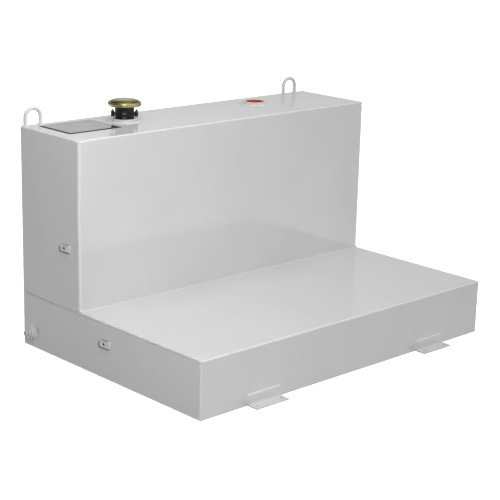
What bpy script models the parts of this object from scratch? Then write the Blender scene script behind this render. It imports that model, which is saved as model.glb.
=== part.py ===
"""L-shaped steel transfer tank for a pickup bed.

Metres, +Z up. The origin is the middle of the tank's flat underside. +X runs along the
tank's width and +Y towards its back wall, so the low deck is on the -Y side and the tall
tower on the +Y side. The shell is folded and welded sheet, hollow, with two baffles.
"""

import math

import bmesh
import bpy
from mathutils import Matrix, Vector

# Shell of folded and welded sheet
TANK_WIDTH = 1.2192
TANK_DEPTH = 0.8466
TANK_HEIGHT = 0.6972
BASE_HEIGHT = 0.1759
TOWER_DEPTH = 0.2974
SHEET = 0.0019
SEAM_GAP = 0.0003
FOLD_INNER_RADIUS = 0.0022

# Baffles inside the shell
BAFFLE_SPACING = 0.4064
BAFFLE_CORNER_CUT = 0.025
BAFFLE_TOWER_HOLE = 0.110
BAFFLE_TOWER_HOLE_HEIGHT = 0.430
BAFFLE_BASE_HOLE = 0.090

# Weld flanges of the filler neck and the pump port
FILLER_FROM_END = 0.3204
PORT_FROM_END = 0.3369
FITTING_FROM_BACK = 0.1057
FLANGE_DIAMETER = 0.105
FLANGE_THICKNESS = 0.003
COLLAR_DIAMETER = 0.079
COLLAR_HEIGHT = 0.008
COUNTERBORE_DIAMETER = 0.066
COUNTERBORE_DEPTH = 0.003
SPIGOT_DIAMETER = 0.075
SPIGOT_DEPTH = 0.012
FIT_CLEARANCE = 0.0003

# Filler neck, a length of two inch pipe
PIPE_DIAMETER = 0.0603
PIPE_WALL = 0.0039
NECK_RISE = 0.055
NECK_ENGAGEMENT = 0.010

# Lug band round the neck, with a bolt and a nut through each lug
LUG_BAND_BASE = 0.0166
LUG_BAND_HEIGHT = 0.0075
LUG_BAND_WALL = 0.0033
LUG_COUNT = 4
LUG_FIRST_ANGLE = -129.0
LUG_BOLT_CIRCLE = 0.075
LUG_WIDTH = 0.0104
BOLT_DIAMETER = 0.006
BOLT_HEAD_HEIGHT = 0.0042
HEX_ACROSS_FLATS = 0.011
NUT_HEIGHT = 0.006
BOLT_END_PROUD = 0.004

# Pressed filler cap, its screwed insert and its seals
CAP_DIAMETER = 0.107
CAP_SHEET = 0.0012
CAP_RIM_BASE = 0.0473
CAP_RIM_HEIGHT = 0.0100
CAP_RIM_WIDTH = 0.0065
CAP_LIP_WIDTH = 0.0025
CAP_VALLEY_WIDTH = 0.006
CAP_VALLEY_DEPTH = 0.0004
CAP_CROWN_DIAMETER = 0.035
CAP_CROWN_HEIGHT = 0.0216
CAP_HOLE_DIAMETER = 0.0055
CAP_HOLE_CIRCLE = 0.080
CAP_HOLE_ANGLE = -40.0
GASKET_THICKNESS = 0.002
GASKET_WIDTH = 0.0042
INSERT_CLEARANCE = 0.00045
INSERT_LENGTH = 0.014
INSERT_WALL = 0.0055
INSERT_FLANGE_OVERHANG = 0.001
FILTER_THICKNESS = 0.005

# Push-in plastic plug of the pump port
PLUG_FLANGE_THICKNESS = 0.002
PLUG_LENGTH = 0.0145
PLUG_WALL = 0.003
PLUG_FLOOR = 0.002
PLUG_BOSS_DIAMETER = 0.008
PLUG_BOSS_HEIGHT = 0.0036

# Lifting loops of bent rod
LOOP_ROD = 0.012
LOOP_SPACING = 0.056
LOOP_HEIGHT = 0.058
LOOP_FROM_BACK = 0.0095
LEFT_LOOP_FROM_END = 0.0416
RIGHT_LOOP_FROM_END = 0.0776

# Drain fitting low on the left end
DRAIN_FROM_BACK = 0.0425
DRAIN_HEIGHT = 0.0475
DRAIN_FLANGE_DIAMETER = 0.056
DRAIN_FLANGE_THICKNESS = 0.004
DRAIN_HUB_DIAMETER = 0.045
DRAIN_HUB_RISE = 0.012
DRAIN_SPIGOT_DIAMETER = 0.040
DRAIN_SPIGOT_DEPTH = 0.012
BUSHING_DIAMETER = 0.031
BUSHING_RISE = 0.017
DRAIN_PLUG_DIAMETER = 0.016
DRAIN_PLUG_HEAD_DIAMETER = 0.018
DRAIN_PLUG_RISE = 0.024
DRAIN_PLUG_DEPTH = 0.008
DRAIN_SOCKET_WIDTH = 0.0095
DRAIN_SOCKET_DEPTH = 0.007

# Joggled lock tabs on the left end
TAB_LENGTH = 0.046
TAB_FOOT_LENGTH = 0.018
TAB_HEIGHT = 0.020
TAB_THICKNESS = 0.0022
TAB_STAND_OFF = 0.0042
TAB_HOLE_DIAMETER = 0.0075
TAB_HOLE_FROM_END = 0.011
UPPER_TAB_FROM_BACK = 0.2318
UPPER_TAB_HEIGHT = 0.3618
LOWER_TAB_FROM_BACK = 0.4240
LOWER_TAB_HEIGHT = 0.1109

# Angle brackets that bolt the tank to the bed
BRACKET_FROM_END = 0.2436
BRACKET_LENGTH = 0.127
BRACKET_UPRIGHT = 0.034
BRACKET_FOOT = 0.038
BRACKET_THICKNESS = 0.0045
BRACKET_INNER_RADIUS = 0.003
BRACKET_HOLE_DIAMETER = 0.0095
BRACKET_HOLE_SPACING = 0.100
BRACKET_HOLE_OUT = 0.023

# Eased edges of the turned pieces
FLANGE_EDGE = 0.0008
NECK_EDGE = 0.0006
PLUG_EDGE = 0.0006
DRAIN_EDGE = 0.001

# Depth of the cap's sheet measured straight down where its dome slopes, over its thickness
DOME_SLOPE_FACTOR = 1.3

# How finely round shapes are divided
ROUND_STEPS = 48
SMALL_ROUND_STEPS = 32
BEND_STEPS = 5
TAB_BEND_STEPS = 2
LUG_END_STEPS = 8
LUG_RING_STEPS = 12
CAP_DOME_STEPS = 6
CAP_RIM_STEPS = 4
CAP_LIP_STEPS = 2
INSERT_DOME_STEPS = 5
LOOP_BEND_STEPS = 16
LOOP_ROD_RESOLUTION = 4

# Places worked out from the sizes above
LEFT_FACE = -TANK_WIDTH / 2
RIGHT_FACE = TANK_WIDTH / 2
FRONT_FACE = -TANK_DEPTH / 2
BACK_FACE = TANK_DEPTH / 2
TOWER_FACE = BACK_FACE - TOWER_DEPTH
FOLD_OUTER_RADIUS = FOLD_INNER_RADIUS + SHEET
INNER_SPAN = (LEFT_FACE + SHEET + SEAM_GAP, RIGHT_FACE - SHEET - SEAM_GAP)
FITTING_Y = BACK_FACE - FITTING_FROM_BACK
FILLER_AXIS = Vector((LEFT_FACE + FILLER_FROM_END, FITTING_Y, TANK_HEIGHT))
PORT_AXIS = Vector((RIGHT_FACE - PORT_FROM_END, FITTING_Y, TANK_HEIGHT))
DRAIN_AXIS = Vector((LEFT_FACE, BACK_FACE - DRAIN_FROM_BACK, DRAIN_HEIGHT))
PIPE_RADIUS = PIPE_DIAMETER / 2
PIPE_BORE_RADIUS = PIPE_RADIUS - PIPE_WALL
BUNG_BORE_RADIUS = PIPE_RADIUS + FIT_CLEARANCE
LUG_HOLE_RADIUS = BOLT_DIAMETER / 2 + FIT_CLEARANCE

PART = None
CUTTERS = None


def clear_scene():
    """Empty the file that the script runs in."""
    for obj in list(bpy.data.objects):
        bpy.data.objects.remove(obj, do_unlink=True)


def add_collection(name):
    """A new collection under the scene's own."""
    collection = bpy.data.collections.new(name)
    bpy.context.scene.collection.children.link(collection)
    return collection


def make_material(name, colour, roughness, metallic=0.0):
    """A Principled material of one colour."""
    material = bpy.data.materials.new(name)
    material.use_nodes = True
    shader = material.node_tree.nodes["Principled BSDF"]
    shader.inputs["Base Color"].default_value = (*colour, 1.0)
    shader.inputs["Roughness"].default_value = roughness
    shader.inputs["Metallic"].default_value = metallic
    return material


def add_object(name, data, material, location=(0.0, 0.0, 0.0)):
    """Put mesh or curve data into the part's collection under a name."""
    obj = bpy.data.objects.new(name, data)
    obj.location = location
    if not data.materials:
        data.materials.append(material)
    PART.objects.link(obj)
    return obj


def mesh_from(name, bm):
    """A mesh taken from a bmesh, which is freed."""
    mesh = bpy.data.meshes.new(name)
    bm.to_mesh(mesh)
    bm.free()
    return mesh


def evaluated_copy(obj):
    """The object's evaluated mesh with its loose caps welded."""
    bpy.context.view_layer.update()
    graph = bpy.context.evaluated_depsgraph_get()
    mesh = bpy.data.meshes.new_from_object(obj.evaluated_get(graph))
    bm = bmesh.new()
    bm.from_mesh(mesh)
    bmesh.ops.remove_doubles(bm, verts=bm.verts, dist=0.00001)
    bm.to_mesh(mesh)
    bm.free()
    return mesh


def shade_round(obj, angle=math.radians(35)):
    """Smooth shading that keeps the edges sharper than the angle."""
    obj.data.shade_smooth()
    obj.data.set_sharp_from_angle(angle=angle)


def arc_corner(before, corner, after, radius, steps=BEND_STEPS):
    """Points of the arc that rounds one corner of a flat path."""
    if radius <= 0.0:
        return [corner]
    to_before = (before - corner).normalized()
    to_after = (after - corner).normalized()
    half = to_before.angle(to_after) / 2
    centre = corner + (to_before + to_after).normalized() * (radius / math.sin(half))
    first = corner + to_before * (radius / math.tan(half)) - centre
    last = corner + to_after * (radius / math.tan(half)) - centre
    turn = math.pi - 2 * half
    if first.x * last.y - first.y * last.x < 0:
        turn = -turn
    start = math.atan2(first.y, first.x)
    points = []
    for step in range(steps + 1):
        angle = start + turn * step / steps
        points.append(centre + Vector((math.cos(angle), math.sin(angle))) * radius)
    return points


def open_path(corners, radii, steps=BEND_STEPS):
    """A flat path through corners, each inner one rounded to its own radius."""
    corners = [Vector(corner) for corner in corners]
    points = [corners[0]]
    for index, radius in enumerate(radii, start=1):
        after = corners[index + 1]
        points += arc_corner(corners[index - 1], corners[index], after, radius, steps)
    points.append(corners[-1])
    return points


def closed_outline(corners, radii):
    """A flat closed outline, each corner rounded to its own radius."""
    corners = [Vector(corner) for corner in corners]
    points = []
    for index, radius in enumerate(radii):
        after = corners[(index + 1) % len(corners)]
        points += arc_corner(corners[index - 1], corners[index], after, radius)
    return points


def circle(centre, radius, steps=ROUND_STEPS):
    """Points of a circle in the plane."""
    points = []
    for step in range(steps):
        angle = 2 * math.pi * step / steps
        points.append(Vector(centre) + Vector((math.cos(angle), math.sin(angle))) * radius)
    return points


def hexagon(centre, across_flats):
    """Points of a hexagon, given across its flats."""
    radius = across_flats / math.sqrt(3)
    points = []
    for side in range(6):
        angle = math.radians(30 + 60 * side)
        points.append(Vector(centre) + Vector((math.cos(angle), math.sin(angle))) * radius)
    return points


def across_width(y, z, x):
    """Place a path drawn in Y and Z and swept along X."""
    return Vector((x, y, z))


def up_height(x, y, z):
    """Place a path drawn in X and Y and swept along Z."""
    return Vector((x, y, z))


def folded_sheet(name, path, place, span, thickness, outside, material):
    """Sheet folded along a path: the path is its outer face and the metal lies behind it."""
    bm = bmesh.new()
    verts = [bm.verts.new(place(a, b, span[0])) for a, b in path]
    edges = [bm.edges.new(pair) for pair in zip(verts, verts[1:])]
    swept = bmesh.ops.extrude_edge_only(bm, edges=edges)["geom"]
    moved = [item for item in swept if isinstance(item, bmesh.types.BMVert)]
    bmesh.ops.translate(bm, verts=moved, vec=place(0, 0, span[1]) - place(0, 0, span[0]))
    bm.normal_update()
    if verts[0].link_faces[0].normal.dot(Vector(outside)) < 0:
        bmesh.ops.reverse_faces(bm, faces=bm.faces)
    obj = add_object(name, mesh_from(name, bm), material)
    shade_round(obj)
    wall = obj.modifiers.new("sheet", "SOLIDIFY")
    wall.thickness = thickness
    wall.offset = -1.0
    wall.use_even_offset = True
    return obj


def flat_plate(name, outlines, thickness, material, matrix=None):
    """Plate cut from flat outlines: the first is its edge, the others are holes."""
    curve = bpy.data.curves.new(name, "CURVE")
    curve.dimensions = "2D"
    curve.fill_mode = "BOTH"
    curve.extrude = thickness / 2
    for outline in outlines:
        spline = curve.splines.new("POLY")
        spline.points.add(len(outline) - 1)
        for point, place in zip(spline.points, outline):
            point.co = (place.x, place.y, 0.0, 1.0)
        spline.use_cyclic_u = True
    obj = add_object(name, curve, material)
    if matrix is not None:
        obj.matrix_world = matrix
    weld = obj.modifiers.new("weld caps", "WELD")
    weld.merge_threshold = 0.00001
    return obj


def turned(name, profile, location, material, steps=ROUND_STEPS, closed=True):
    """A turned piece: its profile is given as radius and height from the location."""
    bm = bmesh.new()
    verts = [bm.verts.new((radius, 0.0, height)) for radius, height in profile]
    for pair in zip(verts, verts[1:]):
        bm.edges.new(pair)
    if closed:
        bm.edges.new((verts[-1], verts[0]))
    obj = add_object(name, mesh_from(name, bm), material, location)
    screw = obj.modifiers.new("turn", "SCREW")
    screw.axis = "Z"
    screw.angle = 2 * math.pi
    screw.steps = steps
    screw.render_steps = steps
    screw.use_merge_vertices = True
    screw.merge_threshold = 0.00001
    screw.use_smooth_shade = True
    return obj


def cylinder_cutter(name, radius, depth, matrix):
    """A round cutter centred on its matrix, kept out of the part."""
    bm = bmesh.new()
    bmesh.ops.create_cone(bm, cap_ends=True, segments=SMALL_ROUND_STEPS, radius1=radius,
                          radius2=radius, depth=depth)
    return hide_cutter(name, bm, matrix)


def box_cutter(name, size, matrix):
    """A square-edged cutter centred on its matrix, kept out of the part."""
    bm = bmesh.new()
    bmesh.ops.create_cube(bm, size=1.0)
    bmesh.ops.scale(bm, vec=size, verts=bm.verts)
    return hide_cutter(name, bm, matrix)


def hide_cutter(name, bm, matrix):
    """Link a cutter that is drawn as wire and never rendered."""
    cutter = bpy.data.objects.new(name, mesh_from(name, bm))
    cutter.matrix_world = matrix
    cutter.display_type = "WIRE"
    cutter.hide_render = True
    CUTTERS.objects.link(cutter)
    return cutter


def cut(obj, cutter):
    """Cut one object away from another."""
    difference = obj.modifiers.new(cutter.name, "BOOLEAN")
    difference.operation = "DIFFERENCE"
    difference.solver = "EXACT"
    difference.object = cutter


def end_plane(x):
    """A matrix that stands a flat outline up as an end plate: its X and Y become Y and Z."""
    turn = Matrix(((0, 0, 1), (1, 0, 0), (0, 1, 0))).to_4x4()
    return Matrix.Translation((x, 0.0, 0.0)) @ turn


def build_base_and_back(paint):
    """Front of the base, bottom and full-height back, folded from one sheet."""
    front_top = BASE_HEIGHT - SHEET - SEAM_GAP
    back_top = TANK_HEIGHT - SHEET - SEAM_GAP
    corners = ((FRONT_FACE, front_top), (FRONT_FACE, 0.0), (BACK_FACE, 0.0), (BACK_FACE, back_top))
    path = open_path(corners, (FOLD_OUTER_RADIUS, FOLD_OUTER_RADIUS))
    folded_sheet("base_and_back_sheet", path, across_width, INNER_SPAN, SHEET, (0, -1, 0), paint)


def build_deck_and_front(paint):
    """Deck and front wall of the tower, folded from one sheet."""
    wall_top = TANK_HEIGHT - SHEET - SEAM_GAP
    corners = ((FRONT_FACE, BASE_HEIGHT), (TOWER_FACE, BASE_HEIGHT), (TOWER_FACE, wall_top))
    path = open_path(corners, (FOLD_INNER_RADIUS,))
    folded_sheet("deck_and_front_sheet", path, across_width, INNER_SPAN, SHEET, (0, 0, 1), paint)


def build_top_plate(paint):
    """Top of the tower, with a round hole for each weld flange."""
    left, right = INNER_SPAN
    corners = ((left, TOWER_FACE), (right, TOWER_FACE), (right, BACK_FACE), (left, BACK_FACE))
    hole_radius = SPIGOT_DIAMETER / 2 + FIT_CLEARANCE
    outlines = [closed_outline(corners, (0, 0, 0, 0))]
    for axis in (FILLER_AXIS, PORT_AXIS):
        outlines.append(circle(axis.xy, hole_radius))
    lift = Matrix.Translation((0.0, 0.0, TANK_HEIGHT - SHEET / 2))
    flat_plate("top_plate", outlines, SHEET, paint, lift)


def build_end_plates(paint):
    """Lower and upper plate of each end, which meet in a seam at the height of the deck."""
    lower = ((FRONT_FACE, 0.0), (BACK_FACE, 0.0), (BACK_FACE, BASE_HEIGHT), (FRONT_FACE, BASE_HEIGHT))
    low = BASE_HEIGHT + SEAM_GAP
    upper = ((TOWER_FACE, low), (BACK_FACE, low), (BACK_FACE, TANK_HEIGHT), (TOWER_FACE, TANK_HEIGHT))
    lower_radii = (FOLD_OUTER_RADIUS, FOLD_OUTER_RADIUS, 0, 0)
    drain_hole = circle(DRAIN_AXIS.yz, DRAIN_SPIGOT_DIAMETER / 2 + FIT_CLEARANCE, SMALL_ROUND_STEPS)
    for side, face, inward in (("left", LEFT_FACE, 1), ("right", RIGHT_FACE, -1)):
        plane = end_plane(face + inward * SHEET / 2)
        lower_outlines = [closed_outline(lower, lower_radii)]
        if side == "left":
            lower_outlines.append(drain_hole)
        flat_plate(side + "_lower_end", lower_outlines, SHEET, paint, plane)
        flat_plate(side + "_upper_end", [closed_outline(upper, (0, 0, 0, 0))], SHEET, paint, plane)


def build_baffles(steel):
    """Two L-shaped baffles, clear of the folds, with flow holes and cut corners."""
    inset = SHEET + SEAM_GAP
    front = FRONT_FACE + inset
    back = BACK_FACE - inset
    tower = TOWER_FACE + inset
    floor = inset
    deck = BASE_HEIGHT - inset
    roof = TANK_HEIGHT - inset
    cut_in = BAFFLE_CORNER_CUT
    outline = [Vector(point) for point in (
        (front + cut_in, floor), (back - cut_in, floor), (back, floor + cut_in),
        (back, roof - cut_in), (back - cut_in, roof), (tower + cut_in, roof),
        (tower, roof - cut_in), (tower, deck + cut_in),
        (tower + cut_in / 2, deck - cut_in / 2), (tower - cut_in, deck),
        (front + cut_in, deck), (front, deck - cut_in), (front, floor + cut_in))]
    tower_hole = ((tower + back) / 2, BAFFLE_TOWER_HOLE_HEIGHT)
    base_hole = ((front + tower) / 2, (floor + deck) / 2)
    outlines = [outline, circle(tower_hole, BAFFLE_TOWER_HOLE / 2),
                circle(base_hole, BAFFLE_BASE_HOLE / 2)]
    for side, x in (("left", -BAFFLE_SPACING / 2), ("right", BAFFLE_SPACING / 2)):
        flat_plate(side + "_baffle", outlines, SHEET, steel, end_plane(x))


def build_weld_flange(name, axis, paint):
    """Weld flange: a disc on the tank's top, a collar above it and a spigot through the hole."""
    collar = COLLAR_DIAMETER / 2
    disc = FLANGE_DIAMETER / 2
    spigot = SPIGOT_DIAMETER / 2
    counterbore = COUNTERBORE_DIAMETER / 2
    seat = COLLAR_HEIGHT - COUNTERBORE_DEPTH
    profile = (
        (counterbore, COLLAR_HEIGHT), (collar - FLANGE_EDGE, COLLAR_HEIGHT),
        (collar, COLLAR_HEIGHT - FLANGE_EDGE), (collar, FLANGE_THICKNESS + FLANGE_EDGE),
        (collar + FLANGE_EDGE, FLANGE_THICKNESS), (disc - FLANGE_EDGE, FLANGE_THICKNESS),
        (disc, FLANGE_THICKNESS - FLANGE_EDGE), (disc, SEAM_GAP), (spigot, SEAM_GAP),
        (spigot, -SPIGOT_DEPTH), (BUNG_BORE_RADIUS, -SPIGOT_DEPTH),
        (BUNG_BORE_RADIUS, seat), (counterbore, seat))
    turned(name, profile, axis, paint)


def build_neck(black):
    """Filler neck: plain pipe from inside the weld flange up to the gasket."""
    profile = (
        (PIPE_BORE_RADIUS, NECK_RISE), (PIPE_RADIUS - NECK_EDGE, NECK_RISE),
        (PIPE_RADIUS, NECK_RISE - NECK_EDGE), (PIPE_RADIUS, -NECK_ENGAGEMENT),
        (PIPE_BORE_RADIUS, -NECK_ENGAGEMENT))
    turned("filler_neck", profile, FILLER_AXIS, black)


def lug_angle(index):
    """Direction of one lug about the neck, in radians."""
    return math.radians(LUG_FIRST_ANGLE + 360.0 * index / LUG_COUNT)


def lug_band_outline():
    """Ring with round-ended lugs, as one outline."""
    ring = PIPE_RADIUS + FIT_CLEARANCE + LUG_BAND_WALL
    reach = LUG_BOLT_CIRCLE / 2
    half = LUG_WIDTH / 2
    root = math.asin(half / ring)
    points = []
    for index in range(LUG_COUNT):
        angle = lug_angle(index)
        along = Vector((math.cos(angle), math.sin(angle)))
        for step in range(LUG_END_STEPS + 1):
            turn = angle - math.pi / 2 + math.pi * step / LUG_END_STEPS
            points.append(along * reach + Vector((math.cos(turn), math.sin(turn))) * half)
        gap = 2 * math.pi / LUG_COUNT - 2 * root
        for step in range(LUG_RING_STEPS + 1):
            turn = angle + root + gap * step / LUG_RING_STEPS
            points.append(Vector((math.cos(turn), math.sin(turn))) * ring)
    return points


def build_lug_band(black):
    """Band with four lugs round the neck."""
    outlines = [lug_band_outline(), circle((0, 0), PIPE_RADIUS + FIT_CLEARANCE)]
    for index in range(LUG_COUNT):
        angle = lug_angle(index)
        place = Vector((math.cos(angle), math.sin(angle))) * LUG_BOLT_CIRCLE / 2
        outlines.append(circle(place, LUG_HOLE_RADIUS, SMALL_ROUND_STEPS // 2))
    middle = LUG_BAND_BASE + LUG_BAND_HEIGHT / 2
    lift = Matrix.Translation(FILLER_AXIS + Vector((0.0, 0.0, middle)))
    flat_plate("lug_band", outlines, LUG_BAND_HEIGHT, black, lift)


def bolt_mesh():
    """Hex bolt with its head down: the origin is the underside of the lug."""
    length = LUG_BAND_HEIGHT + SEAM_GAP + NUT_HEIGHT + BOLT_END_PROUD
    bm = bmesh.new()
    bmesh.ops.create_cone(bm, cap_ends=True, segments=SMALL_ROUND_STEPS // 2,
                          radius1=BOLT_DIAMETER / 2, radius2=BOLT_DIAMETER / 2,
                          depth=length + BOLT_HEAD_HEIGHT,
                          matrix=Matrix.Translation((0, 0, (length - BOLT_HEAD_HEIGHT) / 2)))
    shank = hide_cutter("bolt_shank_form", bm, Matrix())
    head = flat_plate("bolt_head_form", [hexagon((0, 0), HEX_ACROSS_FLATS)], BOLT_HEAD_HEIGHT, None,
                      Matrix.Translation((0, 0, -SEAM_GAP - BOLT_HEAD_HEIGHT / 2)))
    head_mesh = evaluated_copy(head)
    head_mesh.transform(head.matrix_world)
    bpy.data.objects.remove(head)
    whole = bpy.data.objects.new("bolt_form", head_mesh)
    CUTTERS.objects.link(whole)
    union = whole.modifiers.new("shank", "BOOLEAN")
    union.operation = "UNION"
    union.solver = "EXACT"
    union.object = shank
    mesh = evaluated_copy(whole)
    bpy.data.objects.remove(whole)
    bpy.data.objects.remove(shank)
    return mesh


def build_lug_bolts(zinc):
    """A bolt from below and a nut on top through each lug."""
    mesh = bolt_mesh()
    mesh.materials.clear()
    nut_base = LUG_BAND_BASE + LUG_BAND_HEIGHT + SEAM_GAP
    for index in range(LUG_COUNT):
        angle = lug_angle(index)
        out = Vector((math.cos(angle), math.sin(angle), 0.0)) * LUG_BOLT_CIRCLE / 2
        place = FILLER_AXIS + out
        turn = Matrix.Rotation(angle, 4, "Z")
        bolt = add_object("lug_bolt_%d" % (index + 1), mesh, zinc)
        bolt.matrix_world = Matrix.Translation(place + Vector((0, 0, LUG_BAND_BASE))) @ turn
        outlines = [hexagon((0, 0), HEX_ACROSS_FLATS),
                    circle((0, 0), LUG_HOLE_RADIUS, SMALL_ROUND_STEPS // 2)]
        nut_middle = Vector((0, 0, nut_base + NUT_HEIGHT / 2))
        flat_plate("lug_nut_%d" % (index + 1), outlines, NUT_HEIGHT, zinc,
                   Matrix.Translation(place + nut_middle) @ turn)


def cap_valley_radius():
    """Radius at which the dome of the cap meets its valley."""
    return CAP_DIAMETER / 2 - CAP_RIM_WIDTH - CAP_VALLEY_WIDTH


def cap_dome_height(radius):
    """Height of the cap's outer face, from the crown down to the valley."""
    crown = CAP_RIM_BASE + CAP_CROWN_HEIGHT
    valley = CAP_RIM_BASE + CAP_RIM_HEIGHT - CAP_VALLEY_DEPTH
    start = CAP_CROWN_DIAMETER / 2
    share = (radius - start) / (cap_valley_radius() - start)
    share = min(max(share, 0.0), 1.0)
    return valley + (crown - valley) * (0.5 + 0.5 * math.cos(math.pi * share))


def cap_profile():
    """Outer face of the cap: flat crown, dome, valley and rolled rim."""
    crown = CAP_CROWN_DIAMETER / 2
    valley = cap_valley_radius()
    points = [(0.0, cap_dome_height(0.0))]
    for step in range(CAP_DOME_STEPS + 1):
        radius = crown + (valley - crown) * step / CAP_DOME_STEPS
        points.append((radius, cap_dome_height(radius)))
    widest = CAP_RIM_BASE + CAP_RIM_HEIGHT / 2
    shoulder = CAP_DIAMETER / 2 - CAP_RIM_WIDTH
    for step in range(CAP_RIM_STEPS + 1):
        angle = math.pi / 2 * (1 - step / CAP_RIM_STEPS)
        radius = shoulder + CAP_RIM_WIDTH * math.cos(angle)
        points.append((radius, widest + CAP_RIM_HEIGHT / 2 * math.sin(angle)))
    for step in range(1, CAP_LIP_STEPS + 1):
        angle = math.pi / 2 * step / CAP_LIP_STEPS
        radius = CAP_DIAMETER / 2 - CAP_LIP_WIDTH * (1 - math.cos(angle))
        points.append((radius, widest - CAP_RIM_HEIGHT / 2 * math.sin(angle)))
    return points


def build_cap_shell(gold):
    """Pressed mushroom cap, a thin shell with a hole for a padlock near its rim."""
    shell = turned("cap_shell", cap_profile(), FILLER_AXIS, gold, closed=False)
    wall = shell.modifiers.new("sheet", "SOLIDIFY")
    wall.thickness = CAP_SHEET
    wall.offset = -1.0
    wall.use_even_offset = True
    angle = math.radians(CAP_HOLE_ANGLE)
    out = Vector((math.cos(angle), math.sin(angle), 0.0)) * CAP_HOLE_CIRCLE / 2
    place = FILLER_AXIS + out + Vector((0, 0, CAP_RIM_BASE + CAP_RIM_HEIGHT))
    cutter = cylinder_cutter("cap_hole_cutter", CAP_HOLE_DIAMETER / 2, 2 * CAP_RIM_HEIGHT,
                             Matrix.Translation(place))
    cut(shell, cutter)


def build_cap_insert(zinc, felt, rubber):
    """Screwed insert under the cap, the breather filter in it and the gasket below its flange."""
    gasket_base = NECK_RISE + SEAM_GAP
    flange_base = gasket_base + GASKET_THICKNESS + SEAM_GAP
    flange = PIPE_RADIUS + INSERT_FLANGE_OVERHANG
    body = PIPE_BORE_RADIUS - INSERT_CLEARANCE
    hollow = body - INSERT_WALL
    bottom = NECK_RISE - INSERT_LENGTH
    below_shell = DOME_SLOPE_FACTOR * CAP_SHEET + FIT_CLEARANCE
    crown = CAP_CROWN_DIAMETER / 2
    ceiling = flange_base + FIT_CLEARANCE
    profile = [(0.0, cap_dome_height(0.0) - below_shell)]
    for step in range(INSERT_DOME_STEPS + 1):
        radius = crown + (flange - crown) * step / INSERT_DOME_STEPS
        profile.append((radius, cap_dome_height(radius) - below_shell))
    profile += [(flange, flange_base), (body, flange_base), (body, bottom), (hollow, bottom),
                (hollow, ceiling), (0.0, ceiling)]
    turned("cap_insert", profile, FILLER_AXIS, zinc, closed=False)
    filter_top = ceiling - FIT_CLEARANCE
    filter_radius = hollow - FIT_CLEARANCE
    filter_profile = ((0.0, filter_top), (filter_radius, filter_top),
                      (filter_radius, filter_top - FILTER_THICKNESS),
                      (0.0, filter_top - FILTER_THICKNESS))
    turned("breather_filter", filter_profile, FILLER_AXIS, felt, closed=False)
    outer = PIPE_BORE_RADIUS + GASKET_WIDTH
    inner = PIPE_BORE_RADIUS
    gasket_top = gasket_base + GASKET_THICKNESS
    gasket_profile = ((inner, gasket_top), (outer, gasket_top), (outer, gasket_base),
                      (inner, gasket_base))
    turned("cap_gasket", gasket_profile, FILLER_AXIS, rubber)


def build_port_plug(orange):
    """Cup-shaped plastic plug that closes the pump port."""
    flange = COUNTERBORE_DIAMETER / 2 - FIT_CLEARANCE
    body = BUNG_BORE_RADIUS - FIT_CLEARANCE
    hollow = body - PLUG_WALL
    seat = COLLAR_HEIGHT - COUNTERBORE_DEPTH + FIT_CLEARANCE
    top = seat + PLUG_FLANGE_THICKNESS
    bottom = top - PLUG_LENGTH
    floor = bottom + PLUG_FLOOR
    boss = PLUG_BOSS_DIAMETER / 2
    profile = (
        (0.0, floor + PLUG_BOSS_HEIGHT), (boss, floor + PLUG_BOSS_HEIGHT), (boss, floor),
        (hollow, floor), (hollow + PLUG_EDGE, top), (flange - PLUG_EDGE, top),
        (flange, top - PLUG_EDGE), (flange, seat), (body, seat), (body, bottom + PLUG_EDGE),
        (body - PLUG_EDGE, bottom), (0.0, bottom))
    turned("port_plug", profile, PORT_AXIS, orange, closed=False)


def build_loop(name, x, paint):
    """Lifting loop: round rod bent to a U and welded to the top near the back edge."""
    y = BACK_FACE - LOOP_FROM_BACK
    half = LOOP_SPACING / 2
    base = TANK_HEIGHT + SEAM_GAP
    spring = TANK_HEIGHT + LOOP_HEIGHT - LOOP_ROD / 2 - half
    points = [(x - half, y, base)]
    for step in range(LOOP_BEND_STEPS + 1):
        angle = math.pi * (1 - step / LOOP_BEND_STEPS)
        points.append((x + half * math.cos(angle), y, spring + half * math.sin(angle)))
    points.append((x + half, y, base))
    curve = bpy.data.curves.new(name, "CURVE")
    curve.dimensions = "3D"
    curve.bevel_depth = LOOP_ROD / 2
    curve.bevel_resolution = LOOP_ROD_RESOLUTION
    curve.use_fill_caps = True
    spline = curve.splines.new("POLY")
    spline.points.add(len(points) - 1)
    for point, place in zip(spline.points, points):
        point.co = (*place, 1.0)
    add_object(name, curve, paint)


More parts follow.
